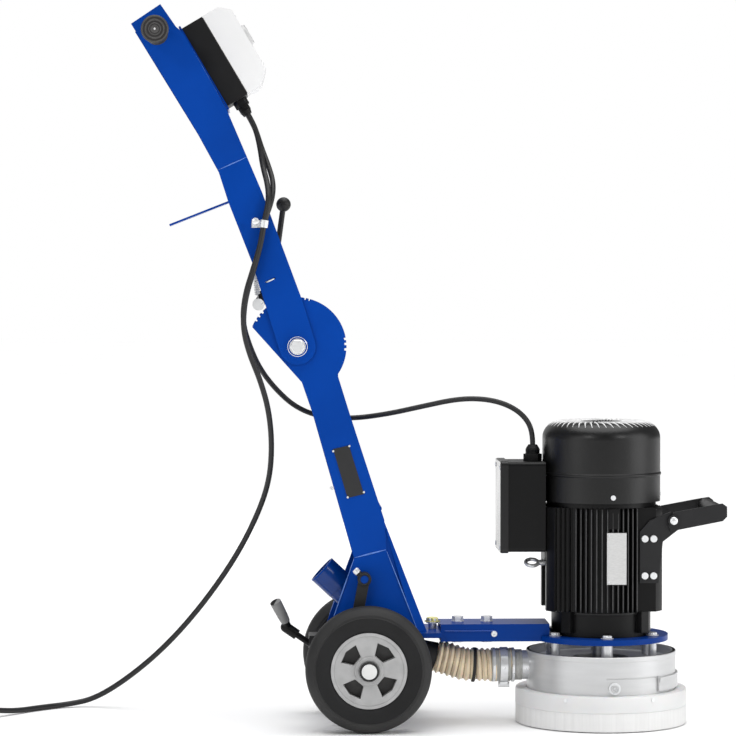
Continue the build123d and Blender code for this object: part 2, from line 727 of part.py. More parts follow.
def wheel_rim():
    """Plastic rim with a hub, four spokes and a closed wall behind them, bored for the stub axle."""
    low = -WHEEL_Y - WHEEL_W / 2
    high = -WHEEL_Y + WHEEL_W / 2
    rim = across(0, WHEEL_R, RIM_R, low + 2, high - 2)
    rim -= across(0, WHEEL_R, RIM_R - 5, low, low + 3)
    rim -= across(0, WHEEL_R, RIM_R - 12, -WHEEL_Y - 7, high)
    rim += across(0, WHEEL_R, 22.5, low + 1, high - 1)
    for angle in (50.0, 140.0, 230.0, 320.0):
        rim -= spoke_window(angle, low, high)
    rim += across(0, WHEEL_R, RIM_R - 11, -WHEEL_Y - RIM_WALL / 2, RIM_WALL / 2 - WHEEL_Y)
    rim -= across(0, WHEEL_R, AXLE_R + 0.05, low - 5, high + 5)
    return rim


def spoke_window(angle, y_low, y_high):
    outline = []
    for radius, degrees in ((25.5, -20.0), (46.0, -23.0), (47.5, 0.0), (46.0, 23.0), (25.5, 20.0)):
        a = math.radians(angle + degrees)
        outline.append((radius * math.cos(a), WHEEL_R + radius * math.sin(a)))
    return plate(outline, y_low - 1, y_high + 1)


def tyre():
    low = -WHEEL_Y - WHEEL_W / 2
    high = -WHEEL_Y + WHEEL_W / 2
    body = across(0, WHEEL_R, WHEEL_R, low, high)
    body = fillet(body.edges().filter_by(GeomType.CIRCLE), 9)
    body -= across(0, WHEEL_R, RIM_R, low - 1, high + 1)
    return body


# ---------------------------------------------------------------- clamping levers

NEAR_LEVER = (-5.4, 238.8)


def clamp_lever_near():
    x, z = NEAR_LEVER
    hub = across(x, z, 11.0, -84, -64.5) + across(x, z, PIN_R, -66, -50)
    arm = plate([(x - 9, z), (x + 9, z), (x - 1, z - 52), (x - 19, z - 52)], -80, -72)
    stub = rod((AXLE_X + x, -74, z), (AXLE_X + x - 14, -74, z + 14), 5.0)
    return hub + arm + stub


REAR_LEVER_SEAT = (-93.0, 129.1)
REAR_LEVER_HUB = (-122.5, 149.4)


def rear_axis(distance):
    """Point along the rear lever's screw, from its seat in the clamp block outwards."""
    dx = REAR_LEVER_HUB[0] - REAR_LEVER_SEAT[0]
    dz = REAR_LEVER_HUB[1] - REAR_LEVER_SEAT[1]
    full = math.hypot(dx, dz)
    x = REAR_LEVER_SEAT[0] + dx * distance / full
    z = REAR_LEVER_SEAT[1] + dz * distance / full
    return (AXLE_X + x, 0, z)


REAR_HUB_R = 8.5


def clamp_lever_rear():
    screw = rod(rear_axis(-17), rear_axis(28), PIN_R)
    hub = rod(rear_axis(22), rear_axis(44), REAR_HUB_R) + Pos(*rear_axis(44)) * Sphere(REAR_HUB_R)
    hub_middle = rear_axis(38)
    tip = (AXLE_X - 146, -20, 197)
    grip = loft([
        Plane(origin=hub_middle, z_dir=Vector(*tip) - Vector(*hub_middle)) * Circle(6.0),
        Plane(origin=tip, z_dir=Vector(*tip) - Vector(*hub_middle)) * Circle(9.0),
    ])
    return screw + hub + grip


# ---------------------------------------------------------------- handle

ARM_FOLD_REAR = (-236.5, 887.0)
ARM_FOLD_FRONT = (-190.6, 907.6)
ARM_SPREAD = 4.0


def arm_plate():
    y_low = -ARM_Y
    y_high = ARM_T - ARM_Y
    lower = plate(
        [(-138.1, 597.4), (-83.7, 617.6), (-103.7, 682.0), (-167.0, 852.4), ARM_FOLD_FRONT,
         ARM_FOLD_REAR, (-220.3, 836.5), (-183.1, 741.6)],
        y_low, y_high,
    )
    lower += across(PIVOT[0], PIVOT[1], 29.0, y_low, y_high)
    upper = bent_panel(
        [ARM_FOLD_REAR, ARM_FOLD_FRONT, (-223.7, 984.9), (-291.4, 1103.0), (-302.4, 1112.4),
         (-326.9, 1147.6), (-373.0, 1116.6), (-271.0, 950.0)],
        ARM_FOLD_REAR, ARM_FOLD_FRONT, ARM_SPREAD, -ARM_Y, ARM_T,
    )
    slit = plate([(-161.0, 708.2), (-145.5, 715.3), (-146.5, 717.5), (-162.0, 710.4)], y_low - 1, y_high + 1)
    shape = lower + upper - slit
    shape -= across(PIVOT[0], PIVOT[1], PIVOT_R + FIT, y_low - 1, y_high + 1)
    shape -= across(LOCK_PIVOT[0], LOCK_PIVOT[1], PIN_R + FIT, -LEVER_SHAFT_Y - 0.3, y_high + 1)
    shape -= across(GRIP_AXIS[0], GRIP_AXIS[1], BAR_R, -120, -40)
    return shape


def pivot_bolt():
    x, z = PIVOT
    shape = across(x, z, PIVOT_R, -ARM_Y - 3, ARM_Y + 3)
    for sign in (-1, 1):
        low, high = sorted((sign * (ARM_Y + 0.4), sign * (ARM_Y + 8)))
        shape += across(x, z, 13.0, low, high)
    shape += across(x, z, 13.0, -SIDE_Y + SIDE_T, SIDE_Y - SIDE_T)
    return shape


def handlebar():
    x, z = GRIP_AXIS
    return across(x, z, BAR_R, -BAR_HALF, BAR_HALF) - across(x, z, BAR_R - 2, -BAR_HALF - 1, BAR_HALF + 1)


def handlebar_grips():
    x, z = GRIP_AXIS
    grip = across(x, z, GRIP_R, -BAR_HALF - 4, -BAR_HALF + 95)
    grip += across(x, z, GRIP_FLANGE_R, -BAR_HALF - 4, -BAR_HALF + 3)
    grip = fillet(grip.edges().filter_by(GeomType.CIRCLE), 1.5)
    grip -= across(x, z, BAR_R, -BAR_HALF, -50)
    return both_sides(grip)


BOX_A = (-294.0, 1111.2)
BOX_AXIS = (0.510, -0.860)
BOX_OUT = (0.860, 0.510)
SWITCH_HALF = 46.0


def on_box(along, out):
    """Point of the switch box: distance down its length, and out from its back face."""
    x = BOX_A[0] + BOX_AXIS[0] * along + BOX_OUT[0] * out
    z = BOX_A[1] + BOX_AXIS[1] * along + BOX_OUT[1] * out
    return (x, z)


SWITCH_L = 142.0
SWITCH_BASE_T = 37.0
SWITCH_COVER_T = 46.0
SWITCH_WALL = 4.0


def switch_base():
    t = SWITCH_WALL
    rim = SWITCH_BASE_T
    outline = [on_box(0, 0), on_box(0, rim), on_box(SWITCH_L, rim), on_box(SWITCH_L, 0)]
    hollow = [on_box(t, t), on_box(t, rim + 1), on_box(SWITCH_L - t, rim + 1), on_box(SWITCH_L - t, t)]
    outer = plate(outline, -SWITCH_HALF, SWITCH_HALF)
    return outer - plate(hollow, t - SWITCH_HALF, SWITCH_HALF - t)


def cover_outline(inset, start):
    top = SWITCH_BASE_T + SWITCH_COVER_T - inset
    return [
        on_box(inset, start),
        on_box(inset, SWITCH_BASE_T + 30 - inset * 0.4),
        on_box(14 + inset * 0.4, top),
        on_box(SWITCH_L - 20 - inset * 0.4, top),
        on_box(SWITCH_L - inset, SWITCH_BASE_T + 26 - inset * 0.4),
        on_box(SWITCH_L - inset, start),
    ]


def switch_cover():
    outer = plate(cover_outline(0, SWITCH_BASE_T), -SWITCH_HALF, SWITCH_HALF)
    inner = plate(cover_outline(3, SWITCH_BASE_T - 1), 3 - SWITCH_HALF, SWITCH_HALF - 3)
    return outer - inner


KNOB_ALONG = 58.0


def switch_knob():
    base = on_box(KNOB_ALONG, SWITCH_BASE_T + SWITCH_COVER_T + GAP)
    face = on_box(KNOB_ALONG, SWITCH_BASE_T + SWITCH_COVER_T + GAP + 4)
    top = on_box(KNOB_ALONG, SWITCH_BASE_T + SWITCH_COVER_T + GAP + 7)
    a = (AXLE_X + base[0], 0, base[1])
    b = (AXLE_X + face[0], 0, face[1])
    c = (AXLE_X + top[0], 0, top[1])
    dial = rod(a, b, 18.0)
    pointer = rod(b, c, 16.5)
    far = Plane(origin=b, x_dir=(0, 1, 0), z_dir=Vector(*c) - Vector(*b))
    bar = extrude(far * Rectangle(12.0, 60.0), amount=4)
    return dial + (pointer & bar)


GLAND_SPLIT = 13.0
GLAND_OUT = 22.0


def switch_glands():
    pieces = []
    for y in (-GLAND_SPLIT, GLAND_SPLIT):
        x, z = on_box(SWITCH_L, GLAND_OUT)
        pieces.append(gland((AXLE_X + x, y, z), (BOX_AXIS[0], 0, BOX_AXIS[1]), 20.0))
    return group(pieces)


def arm_web():
    """Folded carrier plate between the arms, on which the switch box is mounted."""
    outline = [on_box(-4, -3), on_box(-4, 0), on_box(SWITCH_L + 6, 0), on_box(SWITCH_L + 6, -3)]
    return plate(outline, -ARM_Y + ARM_T, ARM_Y - ARM_T)


HOOK_TIP = (-314.0, 799.3)
HOOK_ROOT = (-199.0, 844.6)
HOOK_HALF = 20.0


def hook_strip(start, half_width):
    """Part of the 3 mm hook plate from a share of its length up to its root."""
    dx = HOOK_ROOT[0] - HOOK_TIP[0]
    dz = HOOK_ROOT[1] - HOOK_TIP[1]
    full = math.hypot(dx, dz)
    n = (-dz / full * 3, dx / full * 3)
    low = (HOOK_TIP[0] + dx * start, HOOK_TIP[1] + dz * start)
    root_top = (HOOK_ROOT[0] + n[0], HOOK_ROOT[1] + n[1])
    low_top = (low[0] + n[0], low[1] + n[1])
    return plate([low, HOOK_ROOT, root_top, low_top], -half_width, half_width)


def hook_plate():
    """Tongue for hanging up the cord, on a cross strip between the arms."""
    return hook_strip(0, HOOK_HALF) + hook_strip(0.84, ARM_Y - ARM_T)


CLIP_BOLT = (-175.5, 801.7)
CLIP_CORD = (-163.9, 801.7)
CLIP_Y = -74.3
CLIP_PITCH = 9.8         # between the two cables held
CLIP_HOLE = 10.8


def cord_clip():
    """P-clip: a band round both cables, bolted to the arm plate."""
    x, z = CLIP_CORD
    down = Vector(-0.141, 0, -0.99)
    seat = Plane(origin=(AXLE_X + x, CLIP_Y, z), z_dir=down, x_dir=(0, 1, 0))
    hole = SlotCenterToCenter(CLIP_PITCH, CLIP_HOLE)
    loop = extrude(seat * (SlotCenterToCenter(CLIP_PITCH, CLIP_HOLE + 2.4) - hole), amount=6, both=True)
    bx, bz = CLIP_BOLT
    tab = block(AXLE_X + bx - 8, AXLE_X + x - 3, -ARM_Y - 3.2, -ARM_Y - 1.4, bz - 6, bz + 6)
    bolt = across(bx, bz, 6.0, -ARM_Y - 8, -ARM_Y)
    cavity = extrude(seat * hole, amount=40, both=True)
    return (loop + tab + bolt) - cavity


LOCK_PIVOT = (-150.0, 712.0)
LOCK_BAR = (-172.8, 674.1)
LEVER_BALL = (-132.4, 834.2)
CHEEK_Y = 47.0
LEVER_SHAFT_Y = 60.5


def release_lever():
    """Lever with a ball knob between the arms; its cheeks carry the lock bar."""
    px, pz = LOCK_PIVOT
    bx, bz = LOCK_BAR
    shape = across(px, pz, 9.0, -CHEEK_Y, CHEEK_Y)
    shape += across(px, pz, PIN_R, -LEVER_SHAFT_Y, LEVER_SHAFT_Y)
    for sign in (-1, 1):
        low, high = sorted((sign * CHEEK_Y, sign * (CHEEK_Y - 5)))
        cheek = plate([(px - 7, pz + 6), (px + 8, pz - 2), (bx + 8, bz - 4), (bx - 6, bz + 5)], low, high)
        shape += cheek - across(bx, bz, LOCK_BAR_R, -60, 60)
    stem = rod((AXLE_X + px + 2, 0, pz + 8), (AXLE_X + LEVER_BALL[0], 0, LEVER_BALL[1]), 4.5)
    ball = Pos(AXLE_X + LEVER_BALL[0], 0, LEVER_BALL[1]) * Sphere(11.7)
    return shape + stem + ball


LOCK_BAR_R = 6.0


def lock_bar():
    x, z = LOCK_BAR
    shape = across(x, z, LOCK_BAR_R, -ARM_Y, ARM_Y)
    for sign in (-1, 1):
        low, high = sorted((sign * (ARM_Y - 3.5), sign * (ARM_Y + 1)))
        shape += across(x, z, 9.5, low, high)
    return shape


# ---------------------------------------------------------------- cables

POWER_CABLE = [
    (-189.4, -13.0, 977.9), (-177.7, -13.0, 958.2), (-170.0, -20.0, 926.0), (-165.5, -32.0, 893.0),
    (-158.0, -60.0, 865.0), (-156.0, -80.0, 838.0), (-163.4, -79.2, 806.0), (-170.0, -79.5, 765.0),
    (-182.0, -80.0, 724.0), (-194.0, -80.0, 683.0), (-197.7, -77.0, 640.0), (-188.1, -68.0, 598.0),
    (-170.0, -55.0, 554.3), (-156.0, -37.0, 504.0), (-151.0, -8.0, 445.0), (-156.0, 22.0, 385.1),
    (-178.0, 52.0, 323.1), (-215.0, 80.0, 252.0), (-270.0, 108.0, 173.0), (-329.6, 140.0, 104.0),
    (-392.0, 171.0, 49.0), (-448.0, 193.0, 12.5), (-492.0, 187.0, 4.6), (-532.0, 155.0, 4.6),
    (-575.0, 103.0, 4.6), (-626.0, 58.0, 4.6),
]
MOTOR_LEAD = [
    (269.0, 0.0, 448.0), (269.0, 0.0, 471.0), (254.0, 2.0, 496.0), (226.0, 6.0, 513.5),
    (190.0, 14.0, 521.5), (148.0, 25.0, 520.5), (95.0, 40.0, 508.5), (38.0, 58.0, 495.0),
    (-20.0, 76.0, 486.5), (-73.0, 80.0, 489.5), (-113.0, 68.0, 506.0), (-145.0, 40.0, 536.0),
    (-170.5, 5.0, 570.0), (-187.0, -35.0, 608.0), (-198.5, -62.0, 648.0), (-194.0, -68.5, 690.0),
    (-182.0, -69.0, 728.0), (-170.0, -69.5, 767.0), (-163.4, -69.3, 806.0), (-151.0, -68.5, 839.0),
    (-148.5, -48.0, 867.0), (-156.0, -21.0, 894.0), (-168.0, 1.0, 926.0), (-177.7, 13.0, 958.2),
    (-189.4, 13.0, 977.9),
]


def cable(points):
    return [(AXLE_X + x, y, z) for x, y, z in points]


def cord_coil():
    """Outer shape of the wound part of the mains cord, lying on the floor."""
    band = 1.5 * MAINS_D
    return tube_z(COIL_MEAN + band, COIL_MEAN - band, 0.1, 2 * MAINS_D + 0.1, COIL_X, COIL_Y)


PLUG_X = COIL_X - 67.2    # seam between the plug's cap and its body
PLUG_Y = COIL_Y - 98
PLUG_Z = 19.5
BOOT_END = (PLUG_X + 52, PLUG_Y, PLUG_Z - 12)
TAIL = [
    BOOT_END,
    (BOOT_END[0] + 22.2, PLUG_Y, 6.0),
    (BOOT_END[0] + 42.3, PLUG_Y + 9.4, 4.8),
    (BOOT_END[0] + 56.6, PLUG_Y + 26.4, 4.6),
    (BOOT_END[0] + 62.3, PLUG_Y + 47.8, 4.6),
    (BOOT_END[0] + 66.4, PLUG_Y + 69.6, 4.6),
]


def mains_plug():
    """Earthed plug lying on the floor, with the tail of the cord that runs into the coil."""
    x = PLUG_X
    y = PLUG_Y
    z = PLUG_Z
    cap = rod((x, y, z), (x - 22, y, z), 19.0)
    body = loft([
        Plane(origin=(x, y, z), z_dir=(1, 0, 0)) * Circle(17.5),
        Plane(origin=(x + 26, y, z - 5), z_dir=(1, 0, 0)) * Circle(10.0),
    ])
    boot = loft([
        Plane(origin=(x + 26, y, z - 5), z_dir=(1, 0, 0)) * Circle(8.0),
        Plane(origin=(x + 52, y, z - 12), z_dir=(1, 0, 0)) * Circle(5.6),
    ])
    pins = rod((x - 22, y - 9.5, z), (x - 41, y - 9.5, z), 2.4)
    pins += rod((x - 22, y + 9.5, z), (x - 41, y + 9.5, z), 2.4)
    return cap + body + boot + pins + cord_tube("plug tail", TAIL, MAINS_D)


def write_chassis():
    save(side_plates(), "side_plates")
    save(front_web(), "front_web")
    save(base_plate(), "base_plate")
    save(beam_channel(), "beam_channel")
    save(motor_plate(), "motor_plate")
    save(beam_bolts(), "beam_bolts")
    save(axle_brackets(), "axle_brackets")
    save(stub_axles(), "stub_axles")
    save(label_plate(), "label_plate")
    save(dust_port(), "dust_port")
    save(dust_elbow(), "dust_elbow")
    save(dust_hose(), "dust_hose")
    save(hose_clamps(), "hose_clamp")
    save(pivot_bolt(), "pivot_bolt")


def write_head():
    save(head_housing(), "head_housing")
    save(edge_shutter(), "edge_shutter")
    save(dust_skirt(), "dust_skirt")
    save(housing_bolts(), "housing_bolts")
    save(dust_spigot(), "dust_spigot")
    save(drive_hub(), "drive_hub")
    save(grinding_disc(), "grinding_disc")
    save(diamond_segments(), "diamond_segments")


def write_motor():
    save(motor_frame(), "motor_frame")
    save(end_shields(), "end_shields")
    save(motor_bearings(), "motor_bearings")
    save(stator(), "stator")
    save(motor_shaft(), "motor_shaft")
    save(rotor_core(), "rotor_core")
    save(cooling_fan(), "cooling_fan")
    save(fan_cover(), "fan_cover")
    save(motor_screws(), "motor_screws")
    save(nameplate(), "nameplate")
    save(terminal_box(), "terminal_box")
    save(terminal_lid(), "terminal_lid")
    save(motor_gland(), "motor_gland")
    save(eyebolt(), "eyebolt")
    save(lift_bracket(), "lift_bracket")
    save(lift_handle(), "lift_handle")


def write_running_gear():
    rim = wheel_rim()
    rubber = tyre()
    save(rim, "wheel_rim_near")
    save(rubber, "tyre_near")
    save(far_copy(rim), "wheel_rim_far")
    save(far_copy(rubber), "tyre_far")
    save(clamp_lever_near(), "clamp_lever_near")
    save(clamp_lever_rear(), "clamp_lever_rear")


def write_handle():
    save(both_sides(arm_plate()), "arm_plates")
    save(handlebar(), "handlebar")
    save(handlebar_grips(), "handlebar_grips")
    save(arm_web(), "arm_web")
    save(hook_plate(), "hook_plate")
    save(switch_base(), "switch_base")
    save(switch_cover(), "switch_cover")
    save(switch_knob(), "switch_knob")
    save(switch_glands(), "switch_glands")
    save(cord_clip(), "cord_clip")
    save(release_lever(), "release_lever")
    save(lock_bar(), "lock_bar")


def write_cables():
    save(cord_tube("power cord", cable(POWER_CABLE), MAINS_D), "power_cord")
    save(cord_tube("motor lead", cable(MOTOR_LEAD), LEAD_D), "motor_lead")
    save(cord_coil(), "cord_coil")
    save(mains_plug(), "mains_plug")


write_chassis()
write_head()
write_motor()
write_running_gear()
write_handle()
write_cables()
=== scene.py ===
"""Looks of a walk-behind concrete floor grinder, built round its CAD frame.

Metres, +Z up, +X towards the grinding head, near side -Y. Points given to at() are in millimetres.
"""
import json
import math

import bmesh
import bpy
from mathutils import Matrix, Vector


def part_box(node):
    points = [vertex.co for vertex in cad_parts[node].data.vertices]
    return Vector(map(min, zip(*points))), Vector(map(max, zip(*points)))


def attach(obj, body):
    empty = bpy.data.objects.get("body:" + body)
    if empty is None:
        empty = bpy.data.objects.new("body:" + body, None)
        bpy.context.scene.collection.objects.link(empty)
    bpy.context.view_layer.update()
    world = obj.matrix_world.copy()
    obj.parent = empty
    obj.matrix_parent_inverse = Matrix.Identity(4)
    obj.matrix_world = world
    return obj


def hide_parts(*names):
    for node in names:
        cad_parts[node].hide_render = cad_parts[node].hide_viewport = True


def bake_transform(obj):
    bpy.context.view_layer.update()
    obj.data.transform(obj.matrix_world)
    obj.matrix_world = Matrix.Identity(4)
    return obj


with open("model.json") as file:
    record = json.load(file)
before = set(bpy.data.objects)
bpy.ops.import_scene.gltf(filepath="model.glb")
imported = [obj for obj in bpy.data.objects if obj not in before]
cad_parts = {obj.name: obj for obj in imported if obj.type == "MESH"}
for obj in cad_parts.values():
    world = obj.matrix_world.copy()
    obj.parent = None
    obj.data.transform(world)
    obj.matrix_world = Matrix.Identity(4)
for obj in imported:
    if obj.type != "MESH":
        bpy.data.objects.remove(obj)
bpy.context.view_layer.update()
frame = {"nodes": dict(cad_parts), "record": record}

AXLE_X = -0.100             # axle of the transport wheels
HEAD_X = 0.280              # spindle of the motor and the grinding disc
SIDES = ((-1, "near"), (1, "far"))
UP = (0, 0, 1)
POLE = 0.00001              # radius that closes the end of a turned piece

MAINS_D = 0.009
LEAD_D = 0.0085

VIEW_TURN = 2.1             # degrees the camera is turned from square on
VIEW_DROP = 1.68            # degrees it looks down
CAMERA_PLACE = (-0.27352, -4.82083, 0.71307)
CAMERA_LENS = 146.74
ROOM_LIGHT = 0.17           # strength of the white room, apart from what the camera sees of it
SUN_POWER = 3.0
SUN_WIDTH = 70              # degrees
LAMP_TARGET = (-0.1, 0.0, 0.45)
LAMPS = (                   # name, place, width, watts
    ("key", (-1.9, -3.6, 2.1), 0.5, 20),
    ("fill", (2.5, -3.3, 2.0), 0.5, 22),
    ("wall_left", (-4.0, -3.0, 1.4), 2.6, 24),
    ("backdrop", (-1.0, 3.6, 1.0), 3.4, 15),
    ("wall_right", (4.2, -1.4, 1.3), 3.2, 60),
)
FLOOR_HALF = 30.0
FLOOR_DROP = 0.0004         # keeps the floor clear of the skirt and tyres


def at(x, y, z):
    """Point given in millimetres, with x from the axle."""
    return Vector((AXLE_X + x / 1000, y / 1000, z / 1000))


def on_side(point, side):
    """Point in millimetres on the near or the far side, from one with positive y."""
    x, y, z = point
    return at(x, side * y, z)


# ---------------------------------------------------------------- camera and light

def add_camera():
    """Long lens at the near side, slightly from behind and looking slightly down."""
    turn = math.radians(VIEW_TURN)
    drop = math.radians(VIEW_DROP)
    forward = Vector((math.sin(turn) * math.cos(drop), math.cos(turn) * math.cos(drop), -math.sin(drop)))
    data = bpy.data.cameras.new("camera")
    data.lens = CAMERA_LENS
    data.sensor_width = 36.0
    camera = bpy.data.objects.new("camera", data)
    bpy.context.collection.objects.link(camera)
    camera.location = CAMERA_PLACE
    camera.rotation_euler = forward.to_track_quat("-Z", "Y").to_euler()
    bpy.context.scene.camera = camera


def add_area(name, place, width, power):
    data = bpy.data.lights.new(name, "AREA")
    data.shape = "DISK"
    data.size = width
    data.energy = power
    lamp = bpy.data.objects.new(name, data)
    bpy.context.collection.objects.link(lamp)
    lamp.location = place
    lamp.visible_camera = False
    lamp.rotation_euler = (Vector(LAMP_TARGET) - Vector(place)).to_track_quat("-Z", "Y").to_euler()


def add_room():
    """White room that the camera sees at full strength and the object at a fraction of it."""
    scene = bpy.context.scene
    scene.view_settings.view_transform = "Standard"
    world = bpy.data.worlds.new("studio")
    scene.world = world
    world.use_nodes = True
    nodes = world.node_tree.nodes
    links = world.node_tree.links
    background = nodes["Background"]
    background.inputs["Color"].default_value = (1.0, 1.0, 1.0, 1.0)
    seen = nodes.new("ShaderNodeLightPath")
    level = nodes.new("ShaderNodeMapRange")
    level.inputs["To Min"].default_value = ROOM_LIGHT
    level.inputs["To Max"].default_value = 1.0
    links.new(seen.outputs["Is Camera Ray"], level.inputs["Value"])
    links.new(level.outputs["Result"], background.inputs["Strength"])


def add_studio():
    """Soft light from above, five soft lamps round the machine, and a pale floor."""
    add_room()
    sun = bpy.data.lights.new("ceiling", "SUN")
    sun.energy = SUN_POWER
    sun.angle = math.radians(SUN_WIDTH)
    ceiling = bpy.data.objects.new("ceiling", sun)
    bpy.context.collection.objects.link(ceiling)
    for lamp in LAMPS:
        add_area(*lamp)
    half = FLOOR_HALF
    corners = [(-half, -half, 0), (half, -half, 0), (half, half, 0), (-half, half, 0)]
    mesh = bpy.data.meshes.new("floor")
    mesh.from_pydata(corners, [], [(0, 1, 2, 3)])
    floor = bpy.data.objects.new("floor", mesh)
    bpy.context.collection.objects.link(floor)
    floor.location.z = -FLOOR_DROP
    floor.data.materials.append(surface("floor_paper", (0.94, 0.94, 0.94), 0.85, grain=2.0, tint=0.01))


# ---------------------------------------------------------------- finishes

def surface(name, colour, rough, metal=0.0, grain=60.0, tint=0.1, spread=0.08, fine=600.0, relief=0.05,
            stretch=(1.0, 1.0, 1.0), coat=0.0, edge=0.0, dust=0.0, dust_top=0.25, soft=0.0, shine=0.5):
    """Procedural finish: mottled colour, uneven roughness, fine relief and optional floor dust."""
    material = bpy.data.materials.new(name)
    material.use_nodes = True
    nodes = material.node_tree.nodes
    links = material.node_tree.links
    shader = nodes["Principled BSDF"]
    shader.inputs["Metallic"].default_value = metal
    shader.inputs["Specular IOR Level"].default_value = shine
    shader.inputs["Coat Weight"].default_value = coat
    shader.inputs["Coat Roughness"].default_value = 0.25
    shader.inputs["Subsurface Weight"].default_value = soft
    shader.inputs["Subsurface Scale"].default_value = 0.004

    place = nodes.new("ShaderNodeTexCoord")
    mapping = nodes.new("ShaderNodeMapping")
    mapping.inputs["Scale"].default_value = stretch
    links.new(place.outputs["Object"], mapping.inputs["Vector"])

    mottle = nodes.new("ShaderNodeTexNoise")
    mottle.inputs["Scale"].default_value = grain
    mottle.inputs["Detail"].default_value = 6.0
    links.new(mapping.outputs["Vector"], mottle.inputs["Vector"])

    ramp = nodes.new("ShaderNodeValToRGB")
    low, high = ramp.color_ramp.elements
    low.position = 0.3
    high.position = 0.7
    low.color = (*[c * (1 - tint) for c in colour], 1)
    high.color = (*[min(1, c * (1 + tint)) for c in colour], 1)
    links.new(mottle.outputs["Fac"], ramp.inputs["Fac"])
    colour_out = ramp.outputs["Color"]
    if dust > 0:
        colour_out = add_dust(material, place, colour_out, dust, dust_top)
    links.new(colour_out, shader.inputs["Base Color"])

    gloss = nodes.new("ShaderNodeMapRange")
    gloss.inputs["To Min"].default_value = max(0.02, rough - spread)
    gloss.inputs["To Max"].default_value = min(1.0, rough + spread)
    links.new(mottle.outputs["Fac"], gloss.inputs["Value"])
    links.new(gloss.outputs["Result"], shader.inputs["Roughness"])

    noise = nodes.new("ShaderNodeTexNoise")
    noise.inputs["Scale"].default_value = fine
    noise.inputs["Detail"].default_value = 3.0
    links.new(mapping.outputs["Vector"], noise.inputs["Vector"])
    bump = nodes.new("ShaderNodeBump")
    bump.inputs["Strength"].default_value = relief
    bump.inputs["Distance"].default_value = 0.0006
    links.new(noise.outputs["Fac"], bump.inputs["Height"])
    if edge > 0:
        rounded = nodes.new("ShaderNodeBevel")
        rounded.samples = 4
        rounded.inputs["Radius"].default_value = edge
        links.new(rounded.outputs["Normal"], bump.inputs["Normal"])
    links.new(bump.outputs["Normal"], shader.inputs["Normal"])
    return material


def add_dust(material, place, colour_out, amount, top):
    """Pale grinding dust that thins out upwards from the floor."""
    nodes = material.node_tree.nodes
    links = material.node_tree.links
    split = nodes.new("ShaderNodeSeparateXYZ")
    links.new(place.outputs["Object"], split.inputs["Vector"])
    fade = nodes.new("ShaderNodeMapRange")
    fade.inputs["From Max"].default_value = top
    fade.inputs["To Min"].default_value = amount
    fade.inputs["To Max"].default_value = 0.0
    links.new(split.outputs["Z"], fade.inputs["Value"])
    patch = nodes.new("ShaderNodeTexNoise")
    patch.inputs["Scale"].default_value = 25.0
    patch.inputs["Detail"].default_value = 8.0
    links.new(place.outputs["Object"], patch.inputs["Vector"])
    both = nodes.new("ShaderNodeMath")
    both.operation = "MULTIPLY"
    links.new(fade.outputs["Result"], both.inputs[0])
    links.new(patch.outputs["Fac"], both.inputs[1])
    mix = nodes.new("ShaderNodeMixRGB")
    mix.inputs["Color2"].default_value = (0.55, 0.53, 0.5, 1)
    links.new(both.outputs["Value"], mix.inputs["Fac"])
    links.new(colour_out, mix.inputs["Color1"])
    return mix.outputs["Color"]


def make_slot_finishes():
    """Finishes of the record's material slots."""
    s = surface
    return {
        "blue_paint": s("blue_paint", (0.0006, 0.0475, 0.315), 0.34, grain=5.0, tint=0.13, fine=900.0,
                        relief=0.10, edge=0.0009, dust=0.03, dust_top=0.2, shine=0.07),
        "black_paint": s("black_paint", (0.014, 0.014, 0.015), 0.42, grain=40.0, relief=0.12, edge=0.001,
                         shine=0.3),
        "motor_black": s("motor_black", (0.0032, 0.0032, 0.0034), 0.36, grain=30.0, fine=420.0,
                         relief=0.18, edge=0.001, dust=0.02, dust_top=0.4, shine=0.4),
        "zinc": s("zinc", (0.80, 0.81, 0.82), 0.28, 0.5, grain=120.0, tint=0.03, spread=0.02,
                  relief=0.02, edge=0.0006),
        "steel": s("steel", (0.5, 0.51, 0.52), 0.34, 1.0, grain=90.0, relief=0.08, stretch=(1, 1, 12)),
        "iron": s("iron", (0.12, 0.12, 0.13), 0.6, 0.6, stretch=(1, 1, 30), relief=0.2),
        "segment": s("segment", (0.2, 0.19, 0.17), 0.75, 0.3, grain=400.0, tint=0.4, relief=0.5),
        "cast_aluminium": s("cast_aluminium", (0.62, 0.625, 0.63), 0.38, 0.55, grain=14.0, tint=0.05,
                            fine=300.0, relief=0.06, stretch=(1, 1, 6), edge=0.0008, dust=0.15,
                            dust_top=0.14),
        "label": s("label", (0.012, 0.012, 0.013), 0.35, relief=0.02),
        "nameplate": s("nameplate", (0.62, 0.62, 0.615), 0.35, 0.3, grain=200.0, stretch=(1, 1, 8)),
        "black_rubber": s("black_rubber", (0.024, 0.023, 0.023), 0.55, grain=50.0, relief=0.25,
                          edge=0.001, shine=0.3),
        "black_plastic": s("black_plastic", (0.0075, 0.0075, 0.008), 0.5, fine=1500.0, relief=0.2,
                           edge=0.001, shine=0.2),
        "grey_plastic": s("grey_plastic", (0.40, 0.40, 0.40), 0.42, fine=1200.0, relief=0.12,
                          edge=0.001),
        "white_plastic": s("white_plastic", (0.74, 0.74, 0.74), 0.42, grain=30.0, tint=0.02, fine=1500.0,
                           relief=0.12, edge=0.0015, soft=0.1),
        "hose": s("hose", (0.84, 0.69, 0.50), 0.35, grain=45.0, tint=0.15, relief=0.1, soft=0.15),
        "tyre": s("tyre", (0.022, 0.022, 0.0225), 0.58, grain=25.0, tint=0.15, fine=500.0, relief=0.2,
                  dust=0.05, dust_top=0.2, shine=0.25),
        "cable": s("cable", (0.017, 0.017, 0.018), 0.45, grain=120.0, relief=0.08, shine=0.35),
    }


